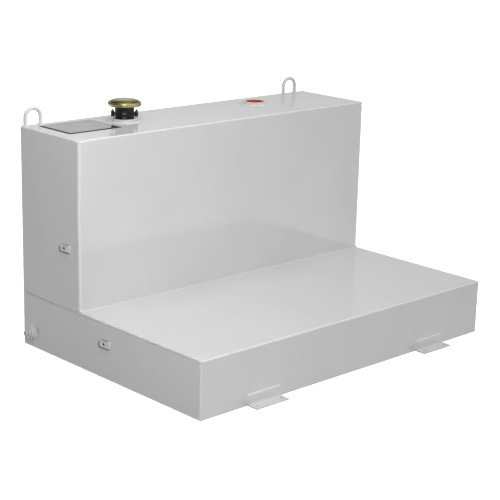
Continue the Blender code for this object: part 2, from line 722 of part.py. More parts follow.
def build_drain(paint):
    """Weld flange, reducer bushing and socket-head plug, one inside the other, facing -X."""
    face_left = Matrix.Translation(DRAIN_AXIS) @ Matrix.Rotation(math.radians(-90), 4, "Y")
    disc = DRAIN_FLANGE_DIAMETER / 2
    hub = DRAIN_HUB_DIAMETER / 2
    spigot = DRAIN_SPIGOT_DIAMETER / 2
    bushing = BUSHING_DIAMETER / 2
    bore = bushing + FIT_CLEARANCE
    flange_profile = (
        (bore, DRAIN_HUB_RISE), (hub - 2 * DRAIN_EDGE, DRAIN_HUB_RISE),
        (hub, DRAIN_HUB_RISE - 2 * DRAIN_EDGE), (hub, DRAIN_FLANGE_THICKNESS),
        (disc - DRAIN_EDGE, DRAIN_FLANGE_THICKNESS), (disc, DRAIN_FLANGE_THICKNESS - DRAIN_EDGE),
        (disc, SEAM_GAP), (spigot, SEAM_GAP),
        (spigot, -DRAIN_SPIGOT_DEPTH), (bore, -DRAIN_SPIGOT_DEPTH))
    flange = turned("drain_flange", flange_profile, (0, 0, 0), paint, SMALL_ROUND_STEPS)
    flange.matrix_world = face_left
    plug = DRAIN_PLUG_DIAMETER / 2
    plug_bore = plug + FIT_CLEARANCE
    bushing_profile = (
        (plug_bore, BUSHING_RISE), (bushing - DRAIN_EDGE, BUSHING_RISE),
        (bushing, BUSHING_RISE - DRAIN_EDGE),
        (bushing, -DRAIN_SPIGOT_DEPTH), (plug_bore, -DRAIN_SPIGOT_DEPTH))
    reducer = turned("drain_bushing", bushing_profile, (0, 0, 0), paint, SMALL_ROUND_STEPS)
    reducer.matrix_world = face_left
    head = DRAIN_PLUG_HEAD_DIAMETER / 2
    seat = BUSHING_RISE + FIT_CLEARANCE
    plug_profile = (
        (0.0, DRAIN_PLUG_RISE), (head - DRAIN_EDGE, DRAIN_PLUG_RISE),
        (head, DRAIN_PLUG_RISE - DRAIN_EDGE),
        (head, seat), (plug, seat), (plug, -DRAIN_PLUG_DEPTH), (0.0, -DRAIN_PLUG_DEPTH))
    stopper = turned("drain_plug", plug_profile, (0, 0, 0), paint, SMALL_ROUND_STEPS, closed=False)
    stopper.matrix_world = face_left
    socket_place = face_left @ Matrix.Translation((0, 0, DRAIN_PLUG_RISE))
    width = DRAIN_SOCKET_WIDTH
    cut(stopper, box_cutter("drain_socket_cutter", (width, width, 2 * DRAIN_SOCKET_DEPTH), socket_place))


def build_tab(name, from_back, height, paint):
    """Joggled tab: its front half lies on the end plate, its back half stands off with a hole."""
    middle = BACK_FACE - from_back
    front = middle - TAB_LENGTH / 2
    back = middle + TAB_LENGTH / 2
    face = LEFT_FACE - SEAM_GAP - TAB_THICKNESS
    raised = face - TAB_STAND_OFF
    joggle = front + TAB_FOOT_LENGTH
    bend = TAB_THICKNESS / 2
    corners = ((face, front), (face, joggle), (raised, joggle + TAB_STAND_OFF), (raised, back))
    path = open_path(corners, (bend, bend), TAB_BEND_STEPS)
    span = (height - TAB_HEIGHT / 2, height + TAB_HEIGHT / 2)
    tab = folded_sheet(name, path, up_height, span, TAB_THICKNESS, (-1, 0, 0), paint)
    place = Vector((raised, back - TAB_HOLE_FROM_END, height))
    matrix = Matrix.Translation(place) @ Matrix.Rotation(math.radians(90), 4, "Y")
    reach = 2 * (TAB_THICKNESS + TAB_STAND_OFF)
    cut(tab, cylinder_cutter(name + "_hole_cutter", TAB_HOLE_DIAMETER / 2, reach, matrix))


def build_bracket(name, x, paint):
    """Angle bracket on the base's front: an upright on the wall and a drilled foot on the bed."""
    wall = FRONT_FACE - SEAM_GAP - BRACKET_THICKNESS
    foot = FRONT_FACE - BRACKET_FOOT
    corners = ((wall, BRACKET_UPRIGHT), (wall, BRACKET_THICKNESS), (foot, BRACKET_THICKNESS))
    path = open_path(corners, (BRACKET_INNER_RADIUS,))
    span = (x - BRACKET_LENGTH / 2, x + BRACKET_LENGTH / 2)
    bracket = folded_sheet(name, path, across_width, span, BRACKET_THICKNESS, (0, -1, 0), paint)
    for side in (-1, 1):
        hole_x = x + side * BRACKET_HOLE_SPACING / 2
        place = Matrix.Translation((hole_x, FRONT_FACE - BRACKET_HOLE_OUT, BRACKET_THICKNESS / 2))
        cutter_name = "%s_hole_%s" % (name, "left" if side < 0 else "right")
        cut(bracket, cylinder_cutter(cutter_name, BRACKET_HOLE_DIAMETER / 2,
                                     3 * BRACKET_THICKNESS, place))


def build_tank():
    """Build every piece of the tank."""
    white = make_material("white powder coat", (0.80, 0.80, 0.79), 0.3)
    steel = make_material("bare steel", (0.45, 0.45, 0.44), 0.45, 1.0)
    black = make_material("black iron", (0.02, 0.02, 0.021), 0.4)
    zinc = make_material("bright zinc", (0.72, 0.72, 0.70), 0.3, 1.0)
    gold = make_material("yellow zinc", (0.62, 0.52, 0.27), 0.25, 1.0)
    orange = make_material("orange plastic", (0.62, 0.12, 0.03), 0.45)
    rubber = make_material("black rubber", (0.03, 0.03, 0.03), 0.7)
    felt = make_material("grey felt", (0.25, 0.25, 0.24), 0.95)

    build_base_and_back(white)
    build_deck_and_front(white)
    build_top_plate(white)
    build_end_plates(white)
    build_baffles(steel)
    build_weld_flange("filler_flange", FILLER_AXIS, white)
    build_weld_flange("port_flange", PORT_AXIS, white)
    build_neck(black)
    build_lug_band(black)
    build_lug_bolts(zinc)
    build_cap_shell(gold)
    build_cap_insert(zinc, felt, rubber)
    build_port_plug(orange)
    build_loop("left_loop", LEFT_FACE + LEFT_LOOP_FROM_END, white)
    build_loop("right_loop", RIGHT_FACE - RIGHT_LOOP_FROM_END, white)
    build_drain(white)
    build_tab("upper_tab", UPPER_TAB_FROM_BACK, UPPER_TAB_HEIGHT, white)
    build_tab("lower_tab", LOWER_TAB_FROM_BACK, LOWER_TAB_HEIGHT, white)
    build_bracket("left_bracket", LEFT_FACE + BRACKET_FROM_END, white)
    build_bracket("right_bracket", RIGHT_FACE - BRACKET_FROM_END, white)


clear_scene()
PART = add_collection("truck_bed_transfer_tank")
CUTTERS = add_collection("cutters")
build_tank()
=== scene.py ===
# Looks of the L-shaped transfer tank: white powder coat over welded steel sheet, a black
# filler neck with a yellow zinc cap, a plugged pump port, drain, loops, tabs and brackets.
import math

import bmesh
import bpy
from mathutils import Matrix, Vector, noise


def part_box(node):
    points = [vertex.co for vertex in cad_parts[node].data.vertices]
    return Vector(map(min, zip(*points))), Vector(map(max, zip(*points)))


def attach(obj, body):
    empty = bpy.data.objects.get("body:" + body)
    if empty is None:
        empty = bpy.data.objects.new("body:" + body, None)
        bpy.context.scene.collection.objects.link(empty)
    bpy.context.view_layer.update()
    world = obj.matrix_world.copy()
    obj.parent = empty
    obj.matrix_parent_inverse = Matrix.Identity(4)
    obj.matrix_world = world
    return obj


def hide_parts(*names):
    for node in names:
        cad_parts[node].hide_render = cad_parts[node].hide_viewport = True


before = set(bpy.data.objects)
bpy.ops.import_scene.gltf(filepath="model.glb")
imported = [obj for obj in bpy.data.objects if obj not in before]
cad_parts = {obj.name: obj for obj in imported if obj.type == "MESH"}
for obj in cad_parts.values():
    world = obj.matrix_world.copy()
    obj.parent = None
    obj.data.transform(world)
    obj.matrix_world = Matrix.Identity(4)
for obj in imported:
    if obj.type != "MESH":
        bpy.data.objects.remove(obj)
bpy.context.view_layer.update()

# Where the photograph was taken from
CAMERA_PLACE = (-2.9724, -3.0853, 1.4745)
CAMERA_AZIMUTH = -43.605
CAMERA_ELEVATION = 15.412
CAMERA_ROLL = 1.458
CAMERA_LENS = 100.15
CAMERA_SENSOR = 36.0

# Places of the tank's faces and axes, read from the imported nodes
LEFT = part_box("left_upper_end")[0].x
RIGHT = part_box("right_upper_end")[1].x
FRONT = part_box("left_lower_end")[0].y
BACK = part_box("left_lower_end")[1].y
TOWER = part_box("left_upper_end")[0].y
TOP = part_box("top_plate")[1].z
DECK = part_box("left_lower_end")[1].z
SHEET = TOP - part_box("top_plate")[0].z


def middle_of(node):
    """Centre of a node's box."""
    low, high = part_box(node)
    return (low + high) / 2


def size_of(node):
    """Width, depth and height of a node's box."""
    low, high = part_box(node)
    return high - low


def radius_of(node, axis=0):
    """Half a node's size along an axis."""
    return size_of(node)[axis] / 2


def heights_of(node):
    """How high a node's foot and head are above the top plate."""
    low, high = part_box(node)
    return low.z - TOP, high.z - TOP


FILLER = Vector((middle_of("filler_neck").x, middle_of("filler_neck").y, TOP))
PORT = Vector((middle_of("port_flange").x, middle_of("port_flange").y, TOP))
DRAIN = Vector((LEFT, middle_of("drain_flange").y, middle_of("drain_flange").z))

# Welded sheet: how far each plate stops short of a corner, which its weld then fills
CORNER_TRIM = 0.004
TOWER_TRIM = 0.006
DECK_END_TRIM = 0.0062
BASE_END_TRIM = 0.0098
GROOVE_DEPTH = 0.0011
GROOVE_FILL = 0.0026
GROOVE_SHIFT = 0.0028
PLATE_SINK = 0.0004
PAST_ALL = 9.0
FOLD_MARGIN = 0.002
FOLD_EDGE = 0.0041 + FOLD_MARGIN
FOLD_SMOOTH = math.radians(40)

# How the top's corner hangs, the tower's edge bows and the sheets wave and dish
CORNER_DROOP = 0.0045
DROOP_REACH = 0.045
EDGE_BOW = 0.0022
EDGE_BOW_HEIGHT = 0.56
EDGE_BOW_REACH = 0.11
HANG_CUTS = (0.008, 0.016, 0.028)
GRID = 0.03
WAVE_REACH = 0.26
WAVE_FADE = 0.09
WAVES = {"base": 0.0004, "back": 0.0006, "deck": 0.0008, "tower": 0.0007, "top": 0.00035,
         "lower_end": 0.0003, "upper_end": 0.0005}
BACK_DISH = -0.0007
RIGHT_DISH = -0.0006

# Weld beads: how far they stand proud of the sheets, their radii, and where they start and stop
WELD_PROUD = 0.0004
TOWER_CORNER_WELD = 0.0066
TOP_FRONT_WELD = 0.0043
TOP_WELD = 0.0044
DECK_FRONT_WELD = 0.0044
DECK_END_WELD = 0.0028
BASE_CORNER_WELD = 0.0046
SEAM_WELD = 0.0026
BACK_WELD = 0.0046
TOWER_LEFT_PROUD = 0.0010
TOWER_RIGHT_PROUD = 0.0011
TOWER_RIGHT_STOP = 0.010
TOWER_WELD_DEPTH = 0.008
DECK_END_OVERLAP = 0.01
BLOB_UNEVENNESS = 0.0016
BLOB_SEED = 2.0
FITTING_WELD = 0.0024
DRAIN_WELD = 0.0026
BRACKET_WELD = 0.0040
BEAD_SIDES = 12
# Depth of lumps and of ripples in millimetres, reach of the lumps, seed, ripple pitch and step
BEADS = {
    "top_edge_welds": (0.9, 0.2, 0.009, 0.0, 0.0028, 0.0012),
    "tower_front_left_weld": (0.6, 0.10, 0.014, 3.7, 0.0028, 0.0012),
    "tower_front_right_weld": (1.0, 0.15, 0.009, 7.4, 0.0028, 0.0012),
    "deck_edge_welds": (0.9, 0.2, 0.008, 11.1, 0.0028, 0.0012),
    "end_groove_welds": (0.3, 0.10, 0.009, 14.8, 0.0028, 0.0012),
    "end_outline_welds": (0.9, 0.18, 0.009, 18.5, 0.0028, 0.0012),
    "end_seam_welds": (0.6, 0.35, 0.008, 22.2, 0.0028, 0.0012),
    "flange_welds": (0.5, 0.35, 0.007, 25.9, 0.0028, 0.0012),
    "loop_welds": (0.8, 0.4, 0.006, 5.0, 0.0026, 0.0008),
    "drain_weld": (0.7, 0.4, 0.008, 9.0, 0.003, 0.001),
    "tab_welds": (0.7, 0.4, 0.008, 13.0, 0.003, 0.001),
    "bracket_welds": (1.0, 0.3, 0.010, 13.0, 0.003, 0.001),
}

# Blobs left where beads start, stop or cross: place and radius
WELD_BLOBS = (
    (LEFT + 0.0050, TOWER + 0.0010, DECK + 0.0035, 0.0068),
    (LEFT + 0.0030, TOWER + 0.0030, 0.2670, 0.0042),
    (LEFT + 0.0020, 0.0486, DECK - 0.0012, 0.0042),
    (LEFT + 0.0090, -0.0560, DECK - 0.0004, 0.0030),
    (LEFT + 0.0018, -0.2270, DECK - 0.0014, 0.0036),
    (LEFT + 0.0022, -0.3640, DECK - 0.0014, 0.0038),
    (LEFT + 0.0042, FRONT + 0.0042, DECK - 0.0028, 0.0056),
    (LEFT + 0.0020, -0.1150, DECK - 0.0013, 0.0031),
    (LEFT + 0.0022, -0.1650, DECK - 0.0013, 0.0034),
    (LEFT + 0.0019, -0.2620, DECK - 0.0015, 0.0032),
    (LEFT + 0.0021, -0.3010, DECK - 0.0014, 0.0034),
    (LEFT + 0.0020, -0.3930, DECK - 0.0014, 0.0037),
    (-0.4995, FRONT + 0.0020, DECK - 0.0018, 0.0036),
    (-0.3340, FRONT + 0.0022, DECK - 0.0018, 0.0036),
    (RIGHT - 0.0052, TOWER + 0.0010, DECK + 0.0030, 0.0050),
    (LEFT + 0.0012, 0.1575, DECK - 0.0040, 0.0034),
    (LEFT + 0.0030, FRONT + 0.0020, 0.0883, 0.0034),
    (LEFT + 0.0030, FRONT + 0.0022, 0.0591, 0.0030),
    (0.2400, TOWER + 0.0018, TOP - 0.0018, 0.0034),
    (0.1660, TOWER + 0.0018, TOP - 0.0018, 0.0032),
)

# Fittings: the sizes that their nodes' boxes don't give
COLLAR_RADIUS = 0.0395
COLLAR_HEIGHT = 0.008
COUNTERBORE_RADIUS = 0.033
COUNTERBORE_DEPTH = 0.003
FLANGE_THICKNESS = 0.003
SPIGOT_RADIUS = 0.0375
SPIGOT_DEPTH = 0.012
PIPE_WALL = 0.0039
THREAD_DEPTH = 0.0009
PIPE_PITCH = 0.0022
BOLT_PITCH = 0.001
BOLT_THREAD_DEPTH = 0.0005
DRAIN_PITCH = 0.0018
FIT = 0.0003
# How far edges and corners are rounded
EASED = {
    "flange": 0.0012, "neck": 0.0009, "lug": 0.0009, "hexagon": 0.0006, "shank": 0.0004,
    "insert": 0.0006, "breather": 0.0012, "gasket": 0.0005, "plug": 0.0008, "rib": 0.0003,
    "drain_flange": 0.002, "drain": 0.0012, "socket": 0.0006, "tab_corner": 0.0036,
    "tab_edge": 0.0004, "bracket_corner": 0.0016, "bracket_edge": 0.0005, "label": 0.0002,
}
# How far above its foot a thread's winding starts
THREAD_START = {"neck": 0.003, "inner": 0.002, "bolt": 0.0003, "insert": 0.0012, "drain": 0.001}
INSERT_THREAD = 0.0145
INSERT_CLEARANCE = 0.00045
INSERT_WALL = 0.0055
NECK_TURNS = 8.0
INNER_TURNS = 5.0
INSERT_TURNS = 4.6
BOLT_RADIUS = 0.003
NUT_PLAY = 0.0002
HEX_POINT = 0.0055 / math.cos(math.radians(30))
CAP_SHEET = 0.0012
CAP_SMOOTH = math.radians(50)
CAP_RIM_HEIGHT = 0.0125
CAP_RIM_WIDTH = 0.0052
CAP_LIP_WIDTH = 0.0025
CAP_VALLEY_WIDTH = 0.0005
CAP_VALLEY_DEPTH = 0.0004
CAP_CROWN_RADIUS = 0.0185
CAP_CROWN_DROP = 0.0015
CAP_DOME_FULLNESS = 2.9
CAP_DOME_SIDE = 0.75
CAP_HOLE_RADIUS = 0.00275
CAP_HOLE_CIRCLE_RADIUS = 0.040
CAP_HOLE_ANGLE = -40.0
# The cap's colours, from its axis outwards, as radius and colour: chromate tones, with a painted dark
# reflection in the band at the dome's foot and a painted highlight in the pale ring on the rim's top
CAP_TONES_AND_SHEEN = (
    (0.0000, (0.56, 0.50, 0.53)),
    (0.0185, (0.52, 0.46, 0.46)),
    (0.0235, (0.38, 0.35, 0.20)),
    (0.0340, (0.30, 0.285, 0.11)),
    (0.0415, (0.20, 0.175, 0.05)),
    # Painted dark reflection: the brown band at the dome's foot
    (0.0452, (0.085, 0.062, 0.015)),
    (0.0474, (0.10, 0.072, 0.028)),
    # Painted highlight: the pale ring on the rim's top
    (0.0488, (0.34, 0.31, 0.23)),
    (0.0508, (0.26, 0.23, 0.12)),
    (0.0526, (0.33, 0.34, 0.13)),
    (0.0540, (0.35, 0.36, 0.14)),
)
PLUG_FLANGE_THICKNESS = 0.002
PLUG_WALL = 0.003
PLUG_FLOOR = 0.002
PLUG_BOSS_RADIUS = 0.004
PLUG_BOSS_HEIGHT = 0.0036
PLUG_RIB_WIDTH = 0.0014
PLUG_RIB_HEIGHT = 0.0026
PLUG_RIB_COUNT = 6
PLUG_RIB_TURN = math.radians(46)
DRAIN_HUB_RADIUS = 0.0225
DRAIN_FLANGE_THICKNESS = 0.004
DRAIN_SPIGOT_RADIUS = 0.020
DRAIN_PLUG_RADIUS = 0.008
DRAIN_SOCKET_WIDTH = 0.0095
DRAIN_SOCKET_DEPTH = 0.007
TAB_THICKNESS = 0.0022
TAB_SLOPE = 0.011
# A thin black sheet on the end behind each tab, as painted shade: it darkens the gap under the tab and
# shows black through its hole
TAB_SHADE_BACK = 0.0120
TAB_SHADE_FOOT = 0.0060
TAB_SHADE_HEAD = 0.0055
TAB_SHADE_CORNER = 0.004
TAB_SHADE_THICKNESS = 0.0010
TAB_HOLE_RADIUS = 0.0050
TAB_HOLE_FROM_END = 0.0200

# The label's plate: its left, right, front and back edges
LABEL = (-0.5670, -0.3735, 0.2256, 0.3858)
LABEL_EDGE = 0.0115
LABEL_FAR_EDGE = 0.0018
LABEL_CORNER = 0.004
LABEL_THICKNESS = 0.0008
LABEL_WEDGE = (0.032, 0.045)
LABEL_FACE_SINK = 0.0001

WHITE = (0.583, 0.583, 0.581)
# A lighter copy of the white coat for the weld beads: painted highlight, so that they read as bright
# ridges
WELD_LIT_WHITE = (0.66, 0.66, 0.657)
WELD_SKIN = 0.0012

# Plain finishes. A tint is a colour or a factor on the base; clouds, gloss and dents are noises
# of scale, detail and roughness, the clouds between the tints and the gloss between its ends.
PLAIN_FINISHES = {
    "black iron": {
        "base": (0.009, 0.009, 0.0095), "roughness": 0.38, "specular": 0.2,
        "tints": (1.0, (0.021, 0.020, 0.020)), "clouds": (160.0, 4.0), "cloud_range": (0.45, 0.75),
        "gloss": (90.0, 3.0), "gloss_ends": (0.24, 0.42), "dents": (900.0, 3.0), "depth": 0.00003},
    "bright zinc": {
        "base": (0.20, 0.20, 0.195), "roughness": 0.34, "metallic": 1.0,
        "tints": ((0.07, 0.07, 0.068), 1.0), "clouds": (300.0, 3.0),
        "gloss": (500.0, 2.0), "gloss_ends": (0.18, 0.36), "dents": (1500.0, 2.0), "depth": 0.00001},
    "orange plastic": {
        "base": (0.47, 0.075, 0.018), "roughness": 0.42, "tints": (0.86, 1.08), "clouds": (90.0, 3.0),
        "gloss": (260.0, 2.0), "gloss_ends": (0.34, 0.5), "dents": (800.0, 2.0), "depth": 0.00002},
    "black rubber": {
        "base": (0.02, 0.02, 0.02), "roughness": 0.7, "tints": (0.8, 1.5), "clouds": (400.0, 3.0),
        "dents": (2200.0, 2.0), "depth": 0.00003},
    "grey felt": {
        "base": (0.22, 0.22, 0.21), "roughness": 0.95, "tints": (0.6, 1.4),
        "clouds": (900.0, 5.0, 0.7), "dents": (1600.0, 4.0, 0.7), "depth": 0.0002},
    "label charcoal": {
        "base": (0.030, 0.031, 0.029), "roughness": 0.5, "specular": 0.1, "tints": (0.75, 1.35),
        "clouds": (140.0, 3.0), "dents": (600.0, 2.0), "depth": 0.00001},
}

# Studio: an even level all round, soft pale patches in the surroundings by compass angle,
# height angle and strength, and the softboxes with place, target, side and power
STUDIO_LEVEL = 0.25
STUDIO_PATCHES = ((-60.0, 48.0, 1.16), (45.0, 12.0, 0.38))
PATCH_EDGE = 0.5
SOFTBOXES = (
    ("front_softbox", (-1.7, -1.5, 1.2), (-0.4, 0.1, 0.4), 0.6, 17.0),
    ("left_softbox", (-1.0, -0.5, 1.5), (-0.5, 0.1, 0.45), 0.5, 5.2),
    ("top_softbox", (-0.3, 0.2, 2.4), (-0.3, 0.2, 0.0), 1.2, 8.2),
)
UNMIRRORED_LIGHTS = ("front_softbox",)
FLOOR_GLOW = 0.85
FLOOR_REACH = 40.0
FLOOR_GAP = 0.0002


def new_object(name, data):
    """A new object in the scene."""
    obj = bpy.data.objects.new(name, data)
    bpy.context.scene.collection.objects.link(obj)
    return obj


def add_camera():
    """Camera at the photograph's viewpoint."""
    data = bpy.data.cameras.new("camera")
    data.sensor_fit = "HORIZONTAL"
    data.sensor_width = CAMERA_SENSOR
    data.lens = CAMERA_LENS
    camera = new_object("camera", data)
    azimuth = math.radians(CAMERA_AZIMUTH)
    elevation = math.radians(CAMERA_ELEVATION)
    roll = math.radians(CAMERA_ROLL)
    back = Vector((math.sin(azimuth) * math.cos(elevation),
                   -math.cos(azimuth) * math.cos(elevation), math.sin(elevation)))
    level = Vector((0, 0, 1)).cross(back).normalized()
    upright = back.cross(level)
    right = level * math.cos(roll) + upright * math.sin(roll)
    up = upright * math.cos(roll) - level * math.sin(roll)
    turn = Matrix((right, up, back)).transposed().to_4x4()
    camera.matrix_world = Matrix.Translation(CAMERA_PLACE) @ turn
    bpy.context.scene.camera = camera


def add_softbox(name, place, target, side, power):
    """Soft square light that faces a target."""
    data = bpy.data.lights.new(name, "AREA")
    data.size = side
    data.energy = power
    light = new_object(name, data)
    light.location = place
    light.rotation_euler = (Vector(target) - Vector(place)).to_track_quat("-Z", "Y").to_euler()
    light.visible_camera = False
    light.visible_glossy = name not in UNMIRRORED_LIGHTS


def add_node(tree, kind, inputs=None, **settings):
    """Add a shader or geometry node: inputs are values, sockets or nodes by their first output."""
    made = tree.nodes.new(kind)
    for setting, value in settings.items():
        setattr(made, setting, value)
    for socket, value in (inputs or {}).items():
        if isinstance(value, bpy.types.Node):
            value = value.outputs[0]
        if isinstance(value, bpy.types.NodeSocket):
            tree.links.new(value, made.inputs[socket])
        else:
            made.inputs[socket].default_value = value
    return made


def light_the_studio():
    """Pale surroundings with two brighter patches, and softboxes in front, left and above."""
    scene = bpy.context.scene
    scene.view_settings.view_transform = "Standard"
    world = bpy.data.worlds.new("studio")
    scene.world = world
    world.use_nodes = True
    tree = world.node_tree
    background = tree.nodes["Background"]
    background.inputs["Color"].default_value = (1.0, 1.0, 1.0, 1.0)
    direction = add_node(tree, "ShaderNodeTexCoord").outputs["Generated"]
    level = STUDIO_LEVEL
    for compass, height, strength in STUDIO_PATCHES:
        turn, rise = math.radians(compass), math.radians(height)
        middle = (math.cos(turn) * math.cos(rise), math.sin(turn) * math.cos(rise), math.sin(rise))
        facing = add_node(tree, "ShaderNodeVectorMath", {0: direction, 1: middle},
                          operation="DOT_PRODUCT").outputs["Value"]
        patch = add_node(tree, "ShaderNodeMapRange",
                         {"Value": facing, "From Min": PATCH_EDGE, "From Max": 1.0, "To Min": 0.0,
                          "To Max": strength}, interpolation_type="SMOOTHSTEP")
        level = maths(tree, "ADD", patch.outputs["Result"], level)
    tree.links.new(level, background.inputs["Strength"])
    for softbox in SOFTBOXES:
        add_softbox(*softbox)


def add_floor(finish):
    """Plain pale floor."""
    bm = bmesh.new()
    bmesh.ops.create_grid(bm, x_segments=1, y_segments=1, size=FLOOR_REACH)
    floor = new_object("floor", mesh_from("floor", bm))
    floor.data.materials.append(finish)
    floor.location.z = -FLOOR_GAP
    floor.visible_diffuse = False


def new_finish(name, colour, roughness, metallic=0.0):
    """A Principled material and its parts: material, tree, shader and object coordinates."""
    material = bpy.data.materials.new(name)
    material.use_nodes = True
    tree = material.node_tree
    shader = tree.nodes["Principled BSDF"]
    shader.inputs["Base Color"].default_value = (*colour, 1.0)
    shader.inputs["Roughness"].default_value = roughness
    shader.inputs["Metallic"].default_value = metallic
    place = add_node(tree, "ShaderNodeTexCoord").outputs["Object"]
    return material, tree, shader, place


def grain(tree, place, scale, detail=2.0, roughness=0.5):
    """Noise over the object's own coordinates, about 0 to 1."""
    made = add_node(tree, "ShaderNodeTexNoise", {"Vector": place, "Scale": scale,
                                                 "Detail": detail, "Roughness": roughness})
    return made.outputs["Fac"]


def spread(tree, value, low, high, start=0.3, end=0.7):
    """Map a value's middle range to a low and a high."""
    made = add_node(tree, "ShaderNodeMapRange", {"Value": value, "From Min": start, "From Max": end,
                                                 "To Min": low, "To Max": high})
    return made.outputs["Result"]


def blend_colours(tree, factor, first, second):
    """Mix two colours, each a value or a socket, by a factor."""
    made = add_node(tree, "ShaderNodeMix", {"Factor": factor}, data_type="RGBA")
    for socket, colour in (("A", first), ("B", second)):
        target = [item for item in made.inputs if item.name == socket and item.type == "RGBA"][0]
        if isinstance(colour, bpy.types.NodeSocket):
            tree.links.new(colour, target)
        else:
            target.default_value = (*colour, 1.0)
    return [item for item in made.outputs if item.type == "RGBA"][0]


def coat(tree, shader, colour, gloss, *heights):
    """Give a shader its colour, gloss and dents: each a height's socket and a depth in metres."""
    tree.links.new(colour, shader.inputs["Base Color"])
    if gloss:
        tree.links.new(gloss, shader.inputs["Roughness"])
    normal = None
    for height, depth in heights:
        inputs = {"Height": height, "Distance": depth, "Strength": 1.0}
        if normal is not None:
            inputs["Normal"] = normal
        normal = add_node(tree, "ShaderNodeBump", inputs).outputs["Normal"]
    tree.links.new(normal, shader.inputs["Normal"])


def shade(tree, colour, factor_low, factor_high, factor):
    """A colour made a little darker or lighter by a factor."""
    dark = tuple(part * factor_low for part in colour)
    light = tuple(part * factor_high for part in colour)
    return blend_colours(tree, factor, dark, light)


def powder_coat(name, white, skin_depth=0.0):
    """Glossy white powder coat: faint clouding, smudges, orange peel and, on welds, a coarse skin."""
    material, tree, shader, place = new_finish(name, white, 0.10)
    clouds = shade(tree, white, 0.972, 1.018, spread(tree, grain(tree, place, 5.0, 3.0), 0.0, 1.0))
    warm = tuple(part * tint for part, tint in zip(white, (0.97, 0.965, 0.95)))
    smudge = spread(tree, grain(tree, place, 2.3, 5.0, 0.62), 0.0, 0.45, 0.56, 0.72)
    gloss = spread(tree, grain(tree, place, 11.0, 4.0), 0.07, 0.13)
    skins = [(grain(tree, place, 320.0, 2.0), 0.000008), (grain(tree, place, 45.0, 2.0), 0.00002)]
    if skin_depth:
        skins.append((grain(tree, place, 150.0, 3.0, 0.6), skin_depth))
    coat(tree, shader, blend_colours(tree, smudge, clouds, warm), gloss, *skins)
    return material


def plain_finish(name):
    """A finish from the table: two tints in clouds, an uneven gloss and fine dents."""
    given = PLAIN_FINISHES[name]
    base = given["base"]
    material, tree, shader, place = new_finish(name, base, given["roughness"],
                                               given.get("metallic", 0.0))
    shader.inputs["Specular IOR Level"].default_value = given.get("specular", 0.5)
    colours = [tint if isinstance(tint, tuple) else tuple(part * tint for part in base)
               for tint in given["tints"]]
    clouds = spread(tree, grain(tree, place, *given["clouds"]), 0.0, 1.0,
                    *given.get("cloud_range", ()))
    gloss = None
    if "gloss" in given:
        gloss = spread(tree, grain(tree, place, *given["gloss"]), *given["gloss_ends"])
    dents = grain(tree, place, *given["dents"])
    coat(tree, shader, blend_colours(tree, clouds, *colours), gloss, (dents, given["depth"]))
    return material


def yellow_zinc():
    """Yellow chromate over zinc: lilac crown, olive dome, a brown band at its foot that is a painted
    dark reflection, a painted highlight ring on the rim's top, a lime rim.
    """
    material, tree, shader, place = new_finish("yellow zinc", (0.40, 0.36, 0.12), 0.2, 1.0)
    centred = add_node(tree, "ShaderNodeMapping", {"Vector": place,
                                                   "Location": (-FILLER.x, -FILLER.y, 0.0)})
    flat = add_node(tree, "ShaderNodeVectorMath", {0: centred.outputs["Vector"], 1: (1.0, 1.0, 0.0)},
                    operation="MULTIPLY")
    out = add_node(tree, "ShaderNodeVectorMath", {0: flat.outputs["Vector"]}, operation="LENGTH")
    cloud = spread(tree, grain(tree, centred.outputs["Vector"], 34.0, 2.0, 0.55), -0.0016, 0.0016)
    uneven = maths(tree, "ADD", out.outputs["Value"], cloud)
    across = spread(tree, uneven, 0.0, 1.0, 0.0, CAP_TONES_AND_SHEEN[-1][0])
    ramp = add_node(tree, "ShaderNodeValToRGB", {"Fac": across})
    band = ramp.color_ramp.elements
    band[0].color = (*CAP_TONES_AND_SHEEN[0][1], 1.0)
    band[1].color = (*CAP_TONES_AND_SHEEN[-1][1], 1.0)
    for radius, colour in CAP_TONES_AND_SHEEN[1:-1]:
        band.new(radius / CAP_TONES_AND_SHEEN[-1][0]).color = (*colour, 1.0)
    patches = spread(tree, grain(tree, centred.outputs["Vector"], 46.0, 2.0, 0.6), 0.0, 0.55, 0.5, 0.7)
    colour = blend_colours(tree, patches, ramp.outputs["Color"], (0.40, 0.27, 0.21))
    gloss = spread(tree, grain(tree, place, 220.0, 3.0), 0.16, 0.26)
    coat(tree, shader, colour, gloss, (grain(tree, place, 700.0, 2.0), 0.000008))
    return material


def bare_steel():
    """Mill-finish steel of the baffles, with rolling streaks along the tank's depth."""
    base = (0.42, 0.42, 0.415)
    material, tree, shader, place = new_finish("bare steel", base, 0.42, 1.0)
    drawn = add_node(tree, "ShaderNodeMapping", {"Vector": place, "Scale": (1.0, 0.05, 1.0)})
    streaks = grain(tree, drawn.outputs["Vector"], 240.0, 4.0, 0.6)
    colour = shade(tree, base, 0.78, 1.12, spread(tree, streaks, 0.0, 1.0))
    coat(tree, shader, colour, spread(tree, streaks, 0.34, 0.55), (streaks, 0.00003))
    return material


def label_silver():
    """Bare printed ground of the label plate: matt silver grey with a fine mottle."""
    base = (0.33, 0.33, 0.32)
    material, tree, shader, place = new_finish("label silver", base, 0.42)
    mottle = spread(tree, grain(tree, place, 170.0, 3.0, 0.6), 0.0, 1.0)
    broad = spread(tree, grain(tree, place, 22.0, 2.0), 0.0, 0.5)
    fine = shade(tree, base, 0.90, 1.10, mottle)
    colour = blend_colours(tree, broad, fine, (0.40, 0.40, 0.39))
    gloss = spread(tree, grain(tree, place, 60.0, 2.0), 0.34, 0.5)
    coat(tree, shader, colour, gloss, (grain(tree, place, 500.0, 2.0), 0.00001))
    return material


